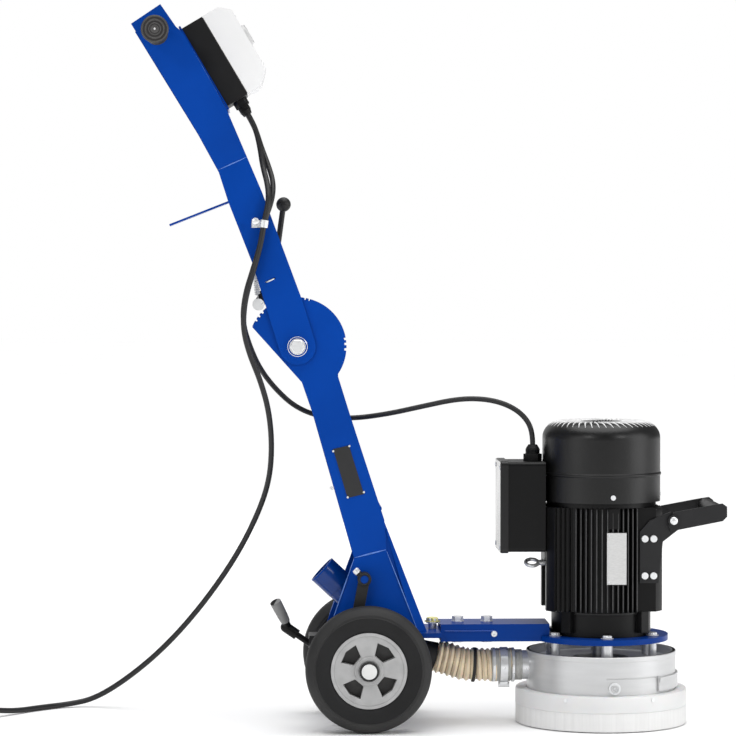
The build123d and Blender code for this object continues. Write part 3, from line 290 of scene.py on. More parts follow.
def make_detail_finishes():
    """Finishes of the small pieces, and of nodes that differ from the rest of their slot."""
    s = surface
    return {
        "bristle": s("bristle", (0.78, 0.78, 0.775), 0.55, grain=160.0, tint=0.04, fine=500.0,
                     relief=0.2, stretch=(1, 1, 0.05), dust=0.06, dust_top=0.03),
        "yellow_zinc": s("yellow_zinc", (0.80, 0.74, 0.26), 0.3, 0.4, grain=120.0, tint=0.2,
                         relief=0.08),
        # dark brown of the helix wire, deepened as painted shade of the hose's valleys
        "hose_wire_and_valley_shade": s("hose_wire_and_valley_shade", (0.40, 0.31, 0.20), 0.4, grain=60.0, tint=0.3, relief=0.1),
        "hose_cuff": s("hose_cuff", (0.44, 0.44, 0.42), 0.4, grain=60.0, relief=0.15),
        "blue_gloss": s("blue_gloss", (0.0008, 0.040, 0.23), 0.22, grain=9.0, tint=0.06, relief=0.05,
                        edge=0.0009, shine=0.35),
        # painted shade: the same blue paint made darker for the low beam and plates, where less light
        # falls
        "blue_painted_shade": s("blue_painted_shade", (0.0006, 0.036, 0.235), 0.32, grain=9.0, tint=0.08, fine=900.0,
                       relief=0.10, edge=0.0009, dust=0.03, dust_top=0.15, shine=0.09),
        "fin_black": s("fin_black", (0.0028, 0.0028, 0.003), 0.38, grain=30.0, fine=900.0, relief=0.12,
                       edge=0.0008, shine=0.2),
        "tyre_dark": s("tyre_dark", (0.014, 0.014, 0.0145), 0.6, grain=25.0, tint=0.15, fine=500.0,
                       relief=0.2, shine=0.2),
        # painted highlight: a paler black for the light caught on the fins' tips
        "fin_tip_highlight": s("fin_tip_highlight", (0.045, 0.045, 0.046), 0.35, grain=200.0, tint=0.3, relief=0.2),
        "knob_pale": s("knob_pale", (0.62, 0.62, 0.62), 0.4, grain=20.0, tint=0.05, relief=0.05),
        "cover_white": s("cover_white", (0.82, 0.82, 0.82), 0.4, grain=6.0, tint=0.03, fine=1500.0,
                         relief=0.08, edge=0.0012),
        # dark grey of the grips' end faces, and painted shade on the wall inside the rims' pockets
        "grip_face_and_pocket_shade": s("grip_face_and_pocket_shade", (0.050, 0.048, 0.047), 0.46, grain=60.0, tint=0.12, relief=0.15),
        # painted highlight: a lighter blue for the light caught along folded and cut edges
        "blue_painted_highlight": s("blue_painted_highlight", (0.10, 0.22, 0.62), 0.3, grain=90.0, tint=0.25, relief=0.1),
        "grip_grey": s("grip_grey", (0.21, 0.21, 0.21), 0.42, grain=80.0, relief=0.2),
        "lid_gloss": s("lid_gloss", (0.010, 0.010, 0.010), 0.24, grain=20.0, relief=0.04, coat=0.3),
        # painted highlight: near white for the light caught on the grille's bars
        "grille_highlight": s("grille_highlight", (0.75, 0.75, 0.75), 0.3, grain=90.0, tint=0.2, relief=0.1),
        "cap_white": s("cap_white", (0.74, 0.74, 0.73), 0.4, grain=60.0, tint=0.03, relief=0.06),
        "weld": s("weld", (0.003, 0.05, 0.31), 0.36, grain=200.0, tint=0.15, fine=700.0, relief=0.4),
    }


# beam_channel, motor_plate and base_plate take the darker blue of painted shade
NODE_FINISHES = {
    "clamp_lever_rear": "fin_black", "motor_frame": "fin_black", "end_shields": "fin_black",
    "terminal_box": "fin_black", "dust_port": "blue_gloss", "beam_channel": "blue_painted_shade",
    "motor_plate": "blue_painted_shade", "base_plate": "blue_painted_shade", "switch_knob": "knob_pale",
    "switch_cover": "cover_white",
}


def dress_nodes():
    """Every CAD node gets the finish of its slot in the record, except the few named above."""
    slots = {entry["node"]: entry["material_slot"] for entry in frame["record"]["subparts"]}
    for name, node in frame["nodes"].items():
        node.data.materials.clear()
        node.data.materials.append(FINISH[NODE_FINISHES.get(name, slots[name])])


# ---------------------------------------------------------------- mesh helpers

def add_mesh(name, points, faces, finish, body, smooth=True):
    mesh = bpy.data.meshes.new(name)
    mesh.from_pydata([tuple(p) for p in points], [], faces)
    mesh.validate()
    work = bmesh.new()
    work.from_mesh(mesh)
    bmesh.ops.recalc_face_normals(work, faces=work.faces)
    work.to_mesh(mesh)
    work.free()
    obj = bpy.data.objects.new(name, mesh)
    bpy.context.collection.objects.link(obj)
    obj.data.materials.append(FINISH[finish])
    if smooth:
        obj.data.polygons.foreach_set("use_smooth", [True] * len(obj.data.polygons))
        obj.data.update()
    if body:
        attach(obj, body)
    return obj


def ring_faces(rings, around, closed=False, first_cap=True, last_cap=True):
    """Faces between successive rings of points, with caps on the ends that need them."""
    faces = []
    last = rings if closed else rings - 1
    for i in range(last):
        a = i * around
        b = ((i + 1) % rings) * around
        for k in range(around):
            n = (k + 1) % around
            faces.append((a + k, a + n, b + n, b + k))
    if first_cap and not closed:
        faces.append(tuple(range(around))[::-1])
    if last_cap and not closed:
        faces.append(tuple(range((rings - 1) * around, rings * around)))
    return faces


def side_axes(direction):
    """The direction made a unit vector, and two more at right angles to it."""
    direction = Vector(direction).normalized()
    helper = Vector(UP) if abs(direction.z) < 0.9 else Vector((1, 0, 0))
    u = direction.cross(helper).normalized()
    return direction, u, direction.cross(u)


def circle(u, v, around):
    """Unit vectors round a circle in the plane of u and v."""
    turns = [2 * math.pi * k / around for k in range(around)]
    return [u * math.cos(a) + v * math.sin(a) for a in turns]


def lathe(name, centre, axis, profile, finish, body, around=64, closed=False, sharp=30):
    """Turned piece: profile holds (radius, height along axis) pairs."""
    d, u, v = side_axes(axis)
    points = []
    for radius, height in profile:
        points += [Vector(centre) + d * height + spoke * radius for spoke in circle(u, v, around)]
    small = 0.001
    faces = ring_faces(len(profile), around, closed, profile[0][0] < small, profile[-1][0] < small)
    obj = add_mesh(name, points, faces, finish, body)
    sharpen(obj, sharp)
    return obj


def sharpen(obj, degrees):
    """Flat shading across creases steeper than the angle."""
    work = bmesh.new()
    work.from_mesh(obj.data)
    limit = math.radians(degrees)
    for edge in work.edges:
        if len(edge.link_faces) == 2 and edge.calc_face_angle(0) > limit:
            edge.smooth = False
    work.to_mesh(obj.data)
    work.free()


def skin(name, stations, finish, body, around=20, sharp=40):
    """Round skin through stations of (centre, radius); it turns with the line of centres."""
    centres = [Vector(c) for c, _ in stations]
    points = []
    _, u, _ = side_axes(centres[1] - centres[0])
    for i, (_, radius) in enumerate(stations):
        before = centres[max(0, i - 1)]
        after = centres[min(len(centres) - 1, i + 1)]
        d = (after - before).normalized()
        u = (u - d * u.dot(d)).normalized()
        points += [centres[i] + spoke * radius for spoke in circle(u, d.cross(u), around)]
    obj = add_mesh(name, points, ring_faces(len(stations), around), finish, body)
    sharpen(obj, sharp)
    return obj


def join(name, parts, body):
    """One mesh from several, riding on the body."""
    merged = bmesh.new()
    for part in parts:
        merged.from_mesh(part.data)
    keep = parts[0]
    merged.to_mesh(keep.data)
    merged.free()
    for part in parts[1:]:
        bpy.data.objects.remove(part)
    keep.name = name
    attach(keep, body)
    return keep


def hexagon(name, centre, axis, flats, height, finish, body):
    """Hexagon head with chamfered corners on a round washer."""
    d, u, v = side_axes(axis)
    corner = flats / math.sqrt(3)
    washer = 0.0016
    chamfer = 0.0007
    points = []
    for level, scale in ((washer, 1.0), (height - chamfer, 1.0), (height, 0.9)):
        points += [Vector(centre) + d * level + spoke * corner * scale for spoke in circle(u, v, 6)]
    head = add_mesh(name, points, ring_faces(3, 6), finish, None, smooth=False)
    profile = [(flats * 0.72, 0), (flats * 0.76, washer * 0.3), (flats * 0.76, washer * 0.8),
               (flats * 0.72, washer)]
    disc = lathe(name + "_w", centre, axis, profile, finish, None, around=32)
    return join(name, [head, disc], body)


def socket_head(name, centre, axis, radius, height, finish, body):
    """Button head with a hexagon socket."""
    profile = [(radius, 0), (radius, height * 0.55), (radius * 0.82, height), (radius * 0.42, height),
               (radius * 0.40, height * 0.35), (POLE, height * 0.30)]
    return lathe(name, centre, axis, profile, finish, body, around=30, sharp=25)


def torus(name, centre, axis, ring, tube, finish, body, around=96):
    profile = []
    for k in range(12):
        a = 2 * math.pi * k / 12
        profile.append((ring + tube * math.cos(a), tube * math.sin(a)))
    return lathe(name, centre, axis, profile, finish, body, around=around, closed=True, sharp=180)


def seam_bead(name, a, b, radius, body):
    """Weld bead with its ripples along a straight joint."""
    ripple = 0.0012
    count = max(8, int((b - a).length / ripple))
    stations = []
    for i in range(count + 1):
        swell = radius * (0.86 + 0.14 * math.cos(i * 2 * math.pi / 3))
        stations.append((a.lerp(b, i / count), swell if 0 < i < count else radius * 0.4))
    return skin(name, stations, "weld", body, around=10, sharp=180)


def edge_highlight(name, a, b, radius, body):
    """Painted highlight: a bright line along a folded or cut edge, standing in for the light that the
    edge catches.
    """
    steps = 12
    stations = []
    for i in range(steps + 1):
        stations.append((a.lerp(b, i / steps), radius * (0.3 + 0.7 * math.sin(math.pi * i / steps))))
    return skin(name, stations, "blue_painted_highlight", body, around=10, sharp=180)


def slab(name, corners, thickness, finish, body, bevel=0.0006):
    """Flat sheet through its corner points, thickened along its normal, with rounded edges."""
    corners = [Vector(c) for c in corners]
    normal = (corners[1] - corners[0]).cross(corners[2] - corners[0]).normalized()
    points = corners + [c + normal * thickness for c in corners]
    n = len(corners)
    faces = [tuple(range(n))[::-1], tuple(range(n, 2 * n))]
    for i in range(n):
        k = (i + 1) % n
        faces.append((i, k, n + k, n + i))
    obj = add_mesh(name, points, faces, finish, None, smooth=False)
    work = bmesh.new()
    work.from_mesh(obj.data)
    bmesh.ops.bevel(work, geom=work.edges[:], offset=bevel, segments=2, affect="EDGES", profile=0.7)
    work.to_mesh(obj.data)
    work.free()
    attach(obj, body)
    return obj


# ---------------------------------------------------------------- cords

MAINS_HELD = [              # from the switch box down the handle to the floor, millimetres
    (-189.4, -13, 977.9), (-177.7, -13, 958.2), (-170, -20, 926), (-165.5, -32, 893), (-158, -60, 865),
    (-156, -80, 838), (-163.4, -79.2, 806), (-170, -79.5, 765), (-182, -80, 724), (-194, -80, 683),
    (-197.7, -77, 640), (-188.1, -68, 598), (-170, -55, 554.3), (-156, -37, 504), (-151, -8, 445),
    (-156, 22, 385.1), (-178, 52, 323.1), (-215, 80, 252), (-270, 108, 173), (-329.6, 140, 104),
    (-392, 171, 49), (-448, 193, 12.5), (-492, 187, 4.6), (-532, 155, 4.6), (-570, 112, 5.0),
    (-594, 84, 9.5), (-613, 62, 14.3),
]
MAINS_TAIL = [              # from the coil to the plug, millimetres from the origin
    (-725.6, 28.5, 4.6), (-731.6, 6.4, 4.6), (-745.9, -10.6, 4.8), (-766, -20, 6.0), (-788.2, -20, 7.5),
]
LEAD = [                    # from the motor's gland up to the switch box, millimetres
    (269, 0, 448), (269, 0, 471), (254, 2, 496), (226, 6, 513.5), (190, 14, 521.5), (148, 25, 520.5),
    (95, 40, 508.5), (38, 58, 495), (-20, 76, 486.5), (-73, 80, 489.5), (-113, 68, 506), (-145, 40, 536),
    (-170.5, 5, 570), (-187, -35, 608), (-198.5, -62, 648), (-194, -68.5, 690), (-182, -69, 728),
    (-170, -69.5, 767), (-163.4, -69.3, 806), (-151, -68.5, 839), (-148.5, -48, 867), (-156, -21, 894),
    (-168, 1, 926), (-177.7, 13, 958.2), (-189.4, 13, 977.9),
]
COIL = (-0.773, 0.078)      # centre of the coil
COIL_STEP = 20              # degrees from one point of the coil to the next
COIL_START = -34            # degrees at which the cord arrives
COIL_GROWTH = 1.0155        # makes up for the curve's cutting of its corners
PLUG = (-840.2, -20.0, 19.5)    # shoulder of the plug's body, millimetres from the origin
PLUG_BODY = (               # distance towards the cord, rise and radius, millimetres
    (-22, 0, 17.2), (-21.2, 0, 18.6), (-20, 0, 19), (-9, 0, 19), (-8.6, 0, 18.2), (-7.6, 0, 18.2),
    (-7.2, 0, 19), (-1, 0, 19), (-0.4, 0, 18.4), (0.4, 0, 17.5), (4, -0.6, 16.9), (5, -0.9, 15.6),
    (7, -1.2, 15.4), (8, -1.5, 16.2), (11, -2.0, 15.2), (12, -2.3, 13.8), (14, -2.6, 13.6),
    (15, -2.8, 14.4), (19, -3.6, 12.6), (23, -4.4, 10.8), (26, -5.0, 9.4), (27, -5.2, 8.2),
    (51.5, -11.9, 5.4), (52, -12, 4.6),
)
PIN_OFFSET = 9.5            # pins from the plug's middle


def coil_point(degrees, radius, height):
    """Point of the coil, with radius and height in millimetres."""
    a = math.radians(degrees)
    reach = radius * COIL_GROWTH / 1000
    return Vector((COIL[0] + reach * math.cos(a), COIL[1] + reach * math.sin(a), height / 1000))


def coil_route():
    """Two turns on top that wind inwards, a step down, then turns on the floor that wind outwards."""
    points = []
    top = 36
    for i in range(top + 1):
        points.append(coil_point(COIL_START - COIL_STEP * i, 56 - 17.0 * i / top, 13.8))
    angle = COIL_START - COIL_STEP * top
    for radius, height in ((36, 13.8), (32.5, 13.0), (30.5, 10.0), (30, 7.0), (30, 4.8)):
        angle -= COIL_STEP
        points.append(coil_point(angle, radius, height))
    floor = 48
    for i in range(1, floor + 1):
        points.append(coil_point(angle - COIL_STEP * i, 30 + 28.0 * i / floor, 4.6))
    return points


def mains_route():
    return [at(*p) for p in MAINS_HELD] + coil_route() + [Vector(p) / 1000 for p in MAINS_TAIL]


def smooth_curve(name, points, bevel, resolution=6):
    data = bpy.data.curves.new(name, "CURVE")
    data.dimensions = "3D"
    data.resolution_u = resolution
    spline = data.splines.new("NURBS")
    spline.points.add(len(points) - 1)
    for point, place in zip(spline.points, points):
        point.co = (*place, 1)
    spline.order_u = 3
    spline.use_endpoint_u = True
    data.bevel_depth = bevel
    data.bevel_resolution = 5
    data.use_fill_caps = bevel > 0
    return bpy.data.objects.new(name, data)


def curve_mesh(curve):
    graph = bpy.context.evaluated_depsgraph_get()
    return bpy.data.meshes.new_from_object(curve, depsgraph=graph)


def cord_mesh(name, points, diameter):
    """Mesh tube along a smooth line, and the points of that line."""
    path = [v.co.copy() for v in curve_mesh(smooth_curve(name + "_line", points, 0.0)).vertices]
    mesh = curve_mesh(smooth_curve(name + "_curve", points, diameter / 2))
    mesh.name = name
    obj = bpy.data.objects.new(name, mesh)
    bpy.context.collection.objects.link(obj)
    mesh.materials.clear()
    mesh.materials.append(FINISH["cable"])
    mesh.polygons.foreach_set("use_smooth", [True] * len(mesh.polygons))
    return obj, path


def add_plug():
    """Earthed plug on the floor: a ridged body, a flexible boot and two pins."""
    x, y, z = PLUG
    stations = [(Vector((x + dx, y, z + dz)) / 1000, radius / 1000) for dx, dz, radius in PLUG_BODY]
    plug = skin("plug_body", stations, "black_rubber", "chassis", around=40, sharp=30)
    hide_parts("mains_plug")
    rings = []
    for i in range(5):
        t = i / 5
        centre = Vector((x + 30 + 20 * t, y, z - 6.1 - 5.4 * t)) / 1000
        radius = (7.7 - 1.9 * t) / 1000
        rings.append(torus("ring", centre, (1, 0, -0.27), radius, 0.0011, "black_rubber", None, 32))
    boot = join("plug_boot_rings", rings, "chassis")
    profile = [(0.0024, 0), (0.0024, 0.0175), (0.0018, 0.0192), (0.0008, 0.0195)]
    pins = []
    for side, _ in SIDES:
        root = Vector((x - 21.5, y + side * PIN_OFFSET, z)) / 1000
        pins.append(lathe("pin", root, (-1, 0, 0), profile, "steel", None, around=24))
    return [plug, boot, join("plug_pins", pins, "chassis")]


def add_cords():
    """Mains cord with its coil and plug, and the motor's lead."""
    pieces = add_plug()
    mains, path = cord_mesh("mains_cord", mains_route(), MAINS_D)
    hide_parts("power_cord", "cord_coil")
    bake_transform(mains)
    lead, path = cord_mesh("lead_cord", [at(*p) for p in LEAD], LEAD_D)
    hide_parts("motor_lead")
    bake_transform(lead)


# ---------------------------------------------------------------- wheels

WHEEL_R = 0.100
WHEEL_Y = 0.115             # middle of a wheel, from the machine's middle
WHEEL_FACE = 0.140          # outer face of its rim
TYRE_HALF = 0.0248          # half the tyre's width
TYRE_STEP = 0.0842          # the flat wall inside this radius is darker
TREAD_GROOVES = (-0.0055, 0.0055)


def tyre_profile():
    half = TYRE_HALF
    wall = [(0.0600, -half + 0.004), (0.0640, -half + 0.0012), (0.0690, -half), (0.0835, -half),
            (0.0845, -half + 0.0012), (0.0880, -half + 0.0012), (0.0905, -half + 0.0030),
            (0.0955, -half + 0.0068), (0.0985, -half + 0.0115), (0.0996, -half + 0.0160)]
    tread = []
    for groove in TREAD_GROOVES:
        tread += [(0.0998, groove - 0.0016), (0.0975, groove - 0.0011), (0.0975, groove + 0.0011),
                  (0.0998, groove + 0.0016)]
    bore = [(0.0600, 0.012), (0.0600, -0.012)]
    return wall + tread + [(r, -h) for r, h in reversed(wall)] + bore


def add_wheel(side, suffix):
    """Tyre with shoulder step and tread grooves, and the rings and cap of the hub."""
    body = "wheel_" + suffix
    out = (0, side, 0)
    centre = Vector((AXLE_X, side * WHEEL_Y, WHEEL_R))
    tyre = lathe("tyre_look_" + suffix, centre, (0, 1, 0), tyre_profile(), "tyre", body, 128, closed=True)
    tyre.data.materials.append(FINISH["tyre_dark"])
    for polygon in tyre.data.polygons:
        places = [tyre.data.vertices[v].co - centre for v in polygon.vertices]
        if max(math.hypot(place.x, place.z) for place in places) < TYRE_STEP:
            polygon.material_index = 1
    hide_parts("tyre_" + suffix)
    face = Vector((AXLE_X, side * WHEEL_FACE, WHEEL_R))
    wall = [(0.0484, -0.0232), (0.0232, -0.0232)]
    # painted shade: a dark wall deep in the grey rim closes its pockets, standing in for the shade inside
    # them
    lathe("rim_wall_" + suffix, face, out, wall, "grip_face_and_pocket_shade", body, around=96)
    boss = [(0.0225, -0.0030), (0.0225, -0.0006), (0.0215, 0.0), (0.0165, 0.0), (0.0160, -0.0010)]
    lathe("hub_boss_" + suffix, face, out, boss, "grey_plastic", body)
    tip = Vector((AXLE_X, side * abs(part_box("stub_axles")[0].y), WHEEL_R))
    ring = [(0.0152, -0.0078), (0.0152, -0.0010), (0.0146, -0.0003), (0.0123, -0.0003),
            (0.0121, -0.0020)]
    lathe("hub_ring_" + suffix, tip, out, ring, "black_rubber", body)
    cap = [(0.0120, -0.0060), (0.0120, -0.0012), (0.0112, 0.0002), (0.0080, 0.0008), (POLE, 0.0010)]
    lathe("axle_cap_" + suffix, tip, out, cap, "cap_white", "chassis", around=48)


# ---------------------------------------------------------------- dust path

HOSE_ROUTE = ((113.5, 0, 106.4), (139, 0, 99.2), (165, 0, 92), (200, 0, 92), (234, 0, 92))
HOSE_R = 0.0254
HOSE_WAVE = 0.0016          # depth of the corrugation
HOSE_PITCH = 0.0092
HOSE_DARK = -0.72           # valleys below this part of the wave show the dark helix wire and painted shade
HOSE_STEPS = 420
HOSE_AROUND = 72
SPIGOT_Z = 92


def hose_centres():
    """Evenly spaced points along the hose, and its length."""
    line = smooth_curve("hose_line", [at(*p) for p in HOSE_ROUTE], 0.0, resolution=60)
    line = [v.co.copy() for v in curve_mesh(line).vertices]
    lengths = [0.0]
    for a, b in zip(line, line[1:]):
        lengths.append(lengths[-1] + (b - a).length)
    centres = []
    for i in range(HOSE_STEPS + 1):
        want = lengths[-1] * i / HOSE_STEPS
        k = max(j for j, s in enumerate(lengths) if s <= want + 1e-9)
        k = min(k, len(line) - 2)
        t = (want - lengths[k]) / max(1e-9, lengths[k + 1] - lengths[k])
        centres.append(line[k].lerp(line[k + 1], t))
    return centres, lengths[-1]


def add_hose():
    """Corrugated hose with a dark helical band in its valleys: the helix wire, with painted shade of the
    valleys.
    """
    centres, total = hose_centres()
    u = Vector((0, 1, 0))
    points = []
    shade = []
    for i, centre in enumerate(centres):
        v = (centres[min(HOSE_STEPS, i + 1)] - centres[max(0, i - 1)]).normalized().cross(u)
        along = i / HOSE_STEPS
        slant = 0.35 * math.sin(9.0 * along)
        for k in range(HOSE_AROUND):
            a = 2 * math.pi * k / HOSE_AROUND
            wave = math.cos(2 * math.pi * total * along / HOSE_PITCH - a + slant)
            swell = 0.0006 * math.sin(14.0 * along) * math.sin(a + 0.6)
            radius = HOSE_R + HOSE_WAVE * wave + swell
            points.append(centre + (u * math.cos(a) + v * math.sin(a)) * radius)
            shade.append(wave)
    faces = ring_faces(HOSE_STEPS + 1, HOSE_AROUND, first_cap=False, last_cap=False)
    hose = add_mesh("hose_look", points, faces, "hose", "chassis")
    hose.data.materials.append(FINISH["hose_wire_and_valley_shade"])
    # painted shade: the valleys get the dark finish, the helix wire darkened further by their shade
    for polygon in hose.data.polygons:
        if max(shade[v] for v in polygon.vertices) < HOSE_DARK:
            polygon.material_index = 1
    thick = hose.modifiers.new("wall", "SOLIDIFY")
    thick.thickness = 0.0012
    thick.offset = -1
    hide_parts("dust_hose")


def add_hose_fittings():
    """Band on the hose, ribbed cuff at its end, and the rings and bands of the spigot."""
    band = [(0.0272, -0.0026), (0.0280, -0.0018), (0.0280, 0.0018), (0.0272, 0.0026), (0.0255, 0.0026),
            (0.0255, -0.0026)]
    lathe("hose_band", at(174, 0, 92.2), (1, 0, -0.06), band, "black_rubber", "chassis", closed=True)
    cuff = []
    for i in range(12):
        x = 0.0026 * i
        cuff += [(0.0262, x), (0.0272, x + 0.0007), (0.0272, x + 0.0015), (0.0262, x + 0.0022)]
    along = (1, 0, 0)
    lathe("hose_cuff", at(202, 0, SPIGOT_Z), along, cuff, "hose_cuff", "chassis")
    for i in range(8):
        place = at(233.6 + 2.4 * i, 0, SPIGOT_Z)
        torus("spigot_ring_%d" % i, place, along, 0.0240, 0.0010, "hose_cuff", "chassis", around=48)
    ring = [(0.0272, -0.0022), (0.0278, -0.0020), (0.0278, 0.0020), (0.0272, 0.0022)]
    for i, x in enumerate((206, 237)):
        lathe("spigot_band_%d" % i, at(x, 0, SPIGOT_Z), along, ring, "zinc", "chassis", closed=True)


def add_skirt():
    """Brush skirt: a smooth band above dense bristles that reach the floor."""
    centre = Vector((HEAD_X, 0, 0))
    band = [(0.1262, 0.0300), (0.1370, 0.0300), (0.1380, 0.0312), (0.1380, 0.0535), (0.1368, 0.0560),
            (0.1205, 0.0560), (0.1205, 0.0505), (0.1262, 0.0500)]
    top = lathe("skirt_band", centre, UP, band, "white_plastic", "chassis", around=160, closed=True)
    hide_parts("dust_skirt")
    around = 900
    levels = ((0.1365, 0.0310), (0.1374, 0.0298), (0.1375, 0.0150), (0.1376, 0.0010), (0.1275, 0.0010),
              (0.1270, 0.0310))
    points = []
    for radius, height in levels:
        for k in range(around):
            a = 2 * math.pi * k / around
            ripple = 0.00012 * math.sin(k * 2.1) + 0.00010 * math.sin(k * 5.7 + 1.3)
            drop = 0.0004 * (1 + math.sin(k * 1.7)) if height < 0.002 else 0.0
            reach = radius + (ripple if radius > 0.13 else 0)
            points.append(centre + Vector((reach * math.cos(a), reach * math.sin(a), height + drop)))
    faces = ring_faces(len(levels), around, closed=True)
    bristles = add_mesh("skirt_bristles", points, faces, "bristle", "chassis")
    sharpen(bristles, 50)
    bead = centre + Vector((0, 0, 0.0520))
    torus("skirt_bead", bead, UP, 0.1369, 0.0010, "white_plastic", "chassis", around=160)


# ---------------------------------------------------------------- handle pieces

GRIP_X = AXLE_X - 0.3316
GRIP_Z = 1.0986
GRIP_END = 0.1936
GRIP_RIBS = 17
BOX_CORNER = (-294.0, 0, 1111.2)    # rear top corner of the switch box, millimetres
BOX_OUT = Vector((0.860, 0, 0.510))
BOX_DOWN = Vector((0.510, 0, -0.860))
CLIP_SCREW = Vector((AXLE_X - 0.1775, 0, 0.8055))


def add_grips():
    """Ribbed rubber sleeves over the plain grips, with rings on the end faces and a painted highlight dot
    in their middle.
    """
    along = (0, 1, 0)
    for side, suffix in SIDES:
        ribs = []
        for i in range(GRIP_RIBS):
            place = Vector((GRIP_X, side * (0.102 + i * 0.005), GRIP_Z))
            ribs.append(torus("rib", place, along, 0.0166, 0.0012, "black_rubber", None, around=48))
        join("grip_ribs_" + suffix, ribs, "handle")
        end = Vector((GRIP_X, side * GRIP_END, GRIP_Z))
        rings = []
        for radius, tube in ((0.0196, 0.0013), (0.0142, 0.0016), (0.0090, 0.0012)):
            rings.append(torus("ring", end, along, radius, tube, "grip_face_and_pocket_shade", None, around=64))
        dome = [(0.0070, -0.0006), (0.0066, 0.0004), (0.0045, 0.0013), (POLE, 0.0016)]
        rings.append(lathe("dome", end, (0, side, 0), dome, "grip_face_and_pocket_shade", None, around=48))
        join("grip_end_" + suffix, rings, "handle")
        # painted highlight: a pale dot on the end's dome stands in for the glint on it
        dot = [(0.0018, -0.0004), (0.0015, 0.0004), (POLE, 0.0007)]
        top = end + Vector((0, side * 0.0015, 0))
        lathe("grip_highlight_dot_" + suffix, top, (0, side, 0), dot, "knob_pale", "handle", around=32)


def on_box(along, out, y=0.0):
    """Point on the switch box: millimetres down its back, outwards, and across."""
    x, _, z = BOX_CORNER
    return at(x + BOX_DOWN.x * along + BOX_OUT.x * out, y, z + BOX_DOWN.z * along + BOX_OUT.z * out)


def add_switch_details():
    """Cover screws, gasket, the knob's dome and mark, and the ribs of the two glands."""
    for i, (along, y) in enumerate(((24, -36), (24, 36), (112, -36), (112, 36))):
        place = on_box(along, 82.7, y)
        socket_head("cover_screw_%d" % i, place, BOX_OUT, 0.0036, 0.0016, "zinc", "handle")
    for i, (side, _) in enumerate(SIDES):
        y = side * 46.2
        corners = [on_box(2, 36.2, y), on_box(140, 36.2, y), on_box(140, 38.0, y), on_box(2, 38.0, y)]
        if side > 0:
            corners.reverse()
        slab("switch_gasket_%d" % i, corners, 0.0005, "black_rubber", "handle", bevel=0.0001)
    dome = [(0.0180, 0.0), (0.0178, 0.0030), (0.0165, 0.0052), (0.0120, 0.0064), (POLE, 0.0068)]
    lathe("knob_dome", on_box(58, 83.3), BOX_OUT, dome, "knob_pale", "knob")
    corner = on_box(46, 90.9, -0.8)
    wide = Vector((0, 0.0016, 0))
    long = BOX_DOWN * 0.007
    mark = [corner, corner + wide, corner + wide + long, corner + long]
    slab("knob_mark", mark, 0.0004, "cap_white", "knob", bevel=0.0001)
    for side, suffix in SIDES:
        base = on_box(151, 22, side * 13)
        rings = []
        for i in range(4):
            place = base + BOX_DOWN * (0.003 + 0.0024 * i)
            rings.append(torus("rib", place, BOX_DOWN, 0.0086, 0.0007, "black_plastic", None, 32))
        join("switch_gland_ribs_" + suffix, rings, "handle")


def add_spring(name, a, b, radius, wire, turns, body):
    """Tension spring with a straight hook at each end."""
    d, u, v = side_axes(b - a)
    length = (b - a).length
    lead = length * 0.14
    per_turn = 20
    count = turns * per_turn
    stations = [(a, wire), (a + d * lead * 0.8, wire)]
    for i in range(count + 1):
        t = 2 * math.pi * i / per_turn
        along = lead + (length - 2 * lead) * i / count
        stations.append((a + d * along + (u * math.cos(t) + v * math.sin(t)) * radius, wire))
    stations += [(b - d * lead * 0.8, wire), (b, wire)]
    return skin(name, stations, "zinc", body, around=8, sharp=180)


def add_handle_details():
    """Pivot nuts, the lock's springs and hooks, the ball's seam and the clip's screw."""
    for side, suffix in SIDES:
        face = on_side((-111, 70.4, 607.5), side)
        hexagon("pivot_nut_" + suffix, face, (0, side, 0), 0.021, 0.0041, "zinc", "chassis")
        low = on_side((-172.8, 53, 680.5), side)
        high = on_side((-181, 53, 745), side)
        add_spring("lock_spring_" + suffix, low, high, 0.0042, 0.0007, 16, "release")
        hook = [((-160.0, 62.2, 709.4), 0.0008), ((-158.0, 63.0, 710.4), 0.0012),
                ((-150.0, 63.0, 714.0), 0.0012), ((-147.5, 62.2, 715.2), 0.0008)]
        stations = [(on_side(point, side), radius) for point, radius in hook]
        skin("spring_hook_" + suffix, stations, "zinc", "handle", around=12, sharp=180)
    ball = at(-132.4, 0, 834.2)
    torus("ball_seam", ball, (0.2, 0, 1), 0.01165, 0.0004, "black_plastic", "release", around=48)
    face = CLIP_SCREW + Vector((0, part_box("cord_clip")[0].y, 0))
    head = [(0.0058, -0.001), (0.0058, 0.0012), (0.0050, 0.0026), (0.0028, 0.0033), (POLE, 0.0035)]
    lathe("clip_screw", face, (0, -1, 0), head, "zinc", "handle", around=40)


# ---------------------------------------------------------------- frame pieces

WELDS = (                   # name, both ends on the far side, radius
    ("web_weld_low_", (-60, 66.0, 151.6), (78, 66.0, 151.6), 0.0016),
    ("web_weld_high_", (17, 52.0, 356), (-27, 52.0, 484), 0.0015),
    ("beam_weld_", (124, 40.4, 151.4), (206, 40.4, 151.4), 0.0013),
    ("bracket_weld_", (-60, 66.0, 142.4), (-30, 66.0, 142.4), 0.0015),
)
# painted highlights: bright lines along folded and cut edges, for the light they catch
BRIGHT_EDGES = (            # name, both ends on the far side, radius, body
    ("side_fold_", (-20.5, 57.2, 270.9), (30.0, 57.2, 283.7), 0.0013, "chassis"),
    ("gusset_rear_", (-21.4, 57.8, 268.5), (-57.5, 65.6, 167.0), 0.0010, "chassis"),
    ("gusset_edge_", (31.0, 57.6, 281.0), (80.5, 66.2, 153.5), 0.0008, "chassis"),
    ("arm_fold_", (-236.0, 62.6, 887.2), (-191.2, 62.6, 907.4), 0.0009, "handle"),
    ("arm_edge_", (-225, 64.4, 986), (-289, 66.4, 1098), 0.0009, "handle"),
)
LABEL_SLOPE = (-0.30, 0, 0.954)
LABEL_RIVET_REACH = (0.0385, 0.0135)    # along the slope and across it
PORT_SLOPE = (0.7314, 0, -0.6820)


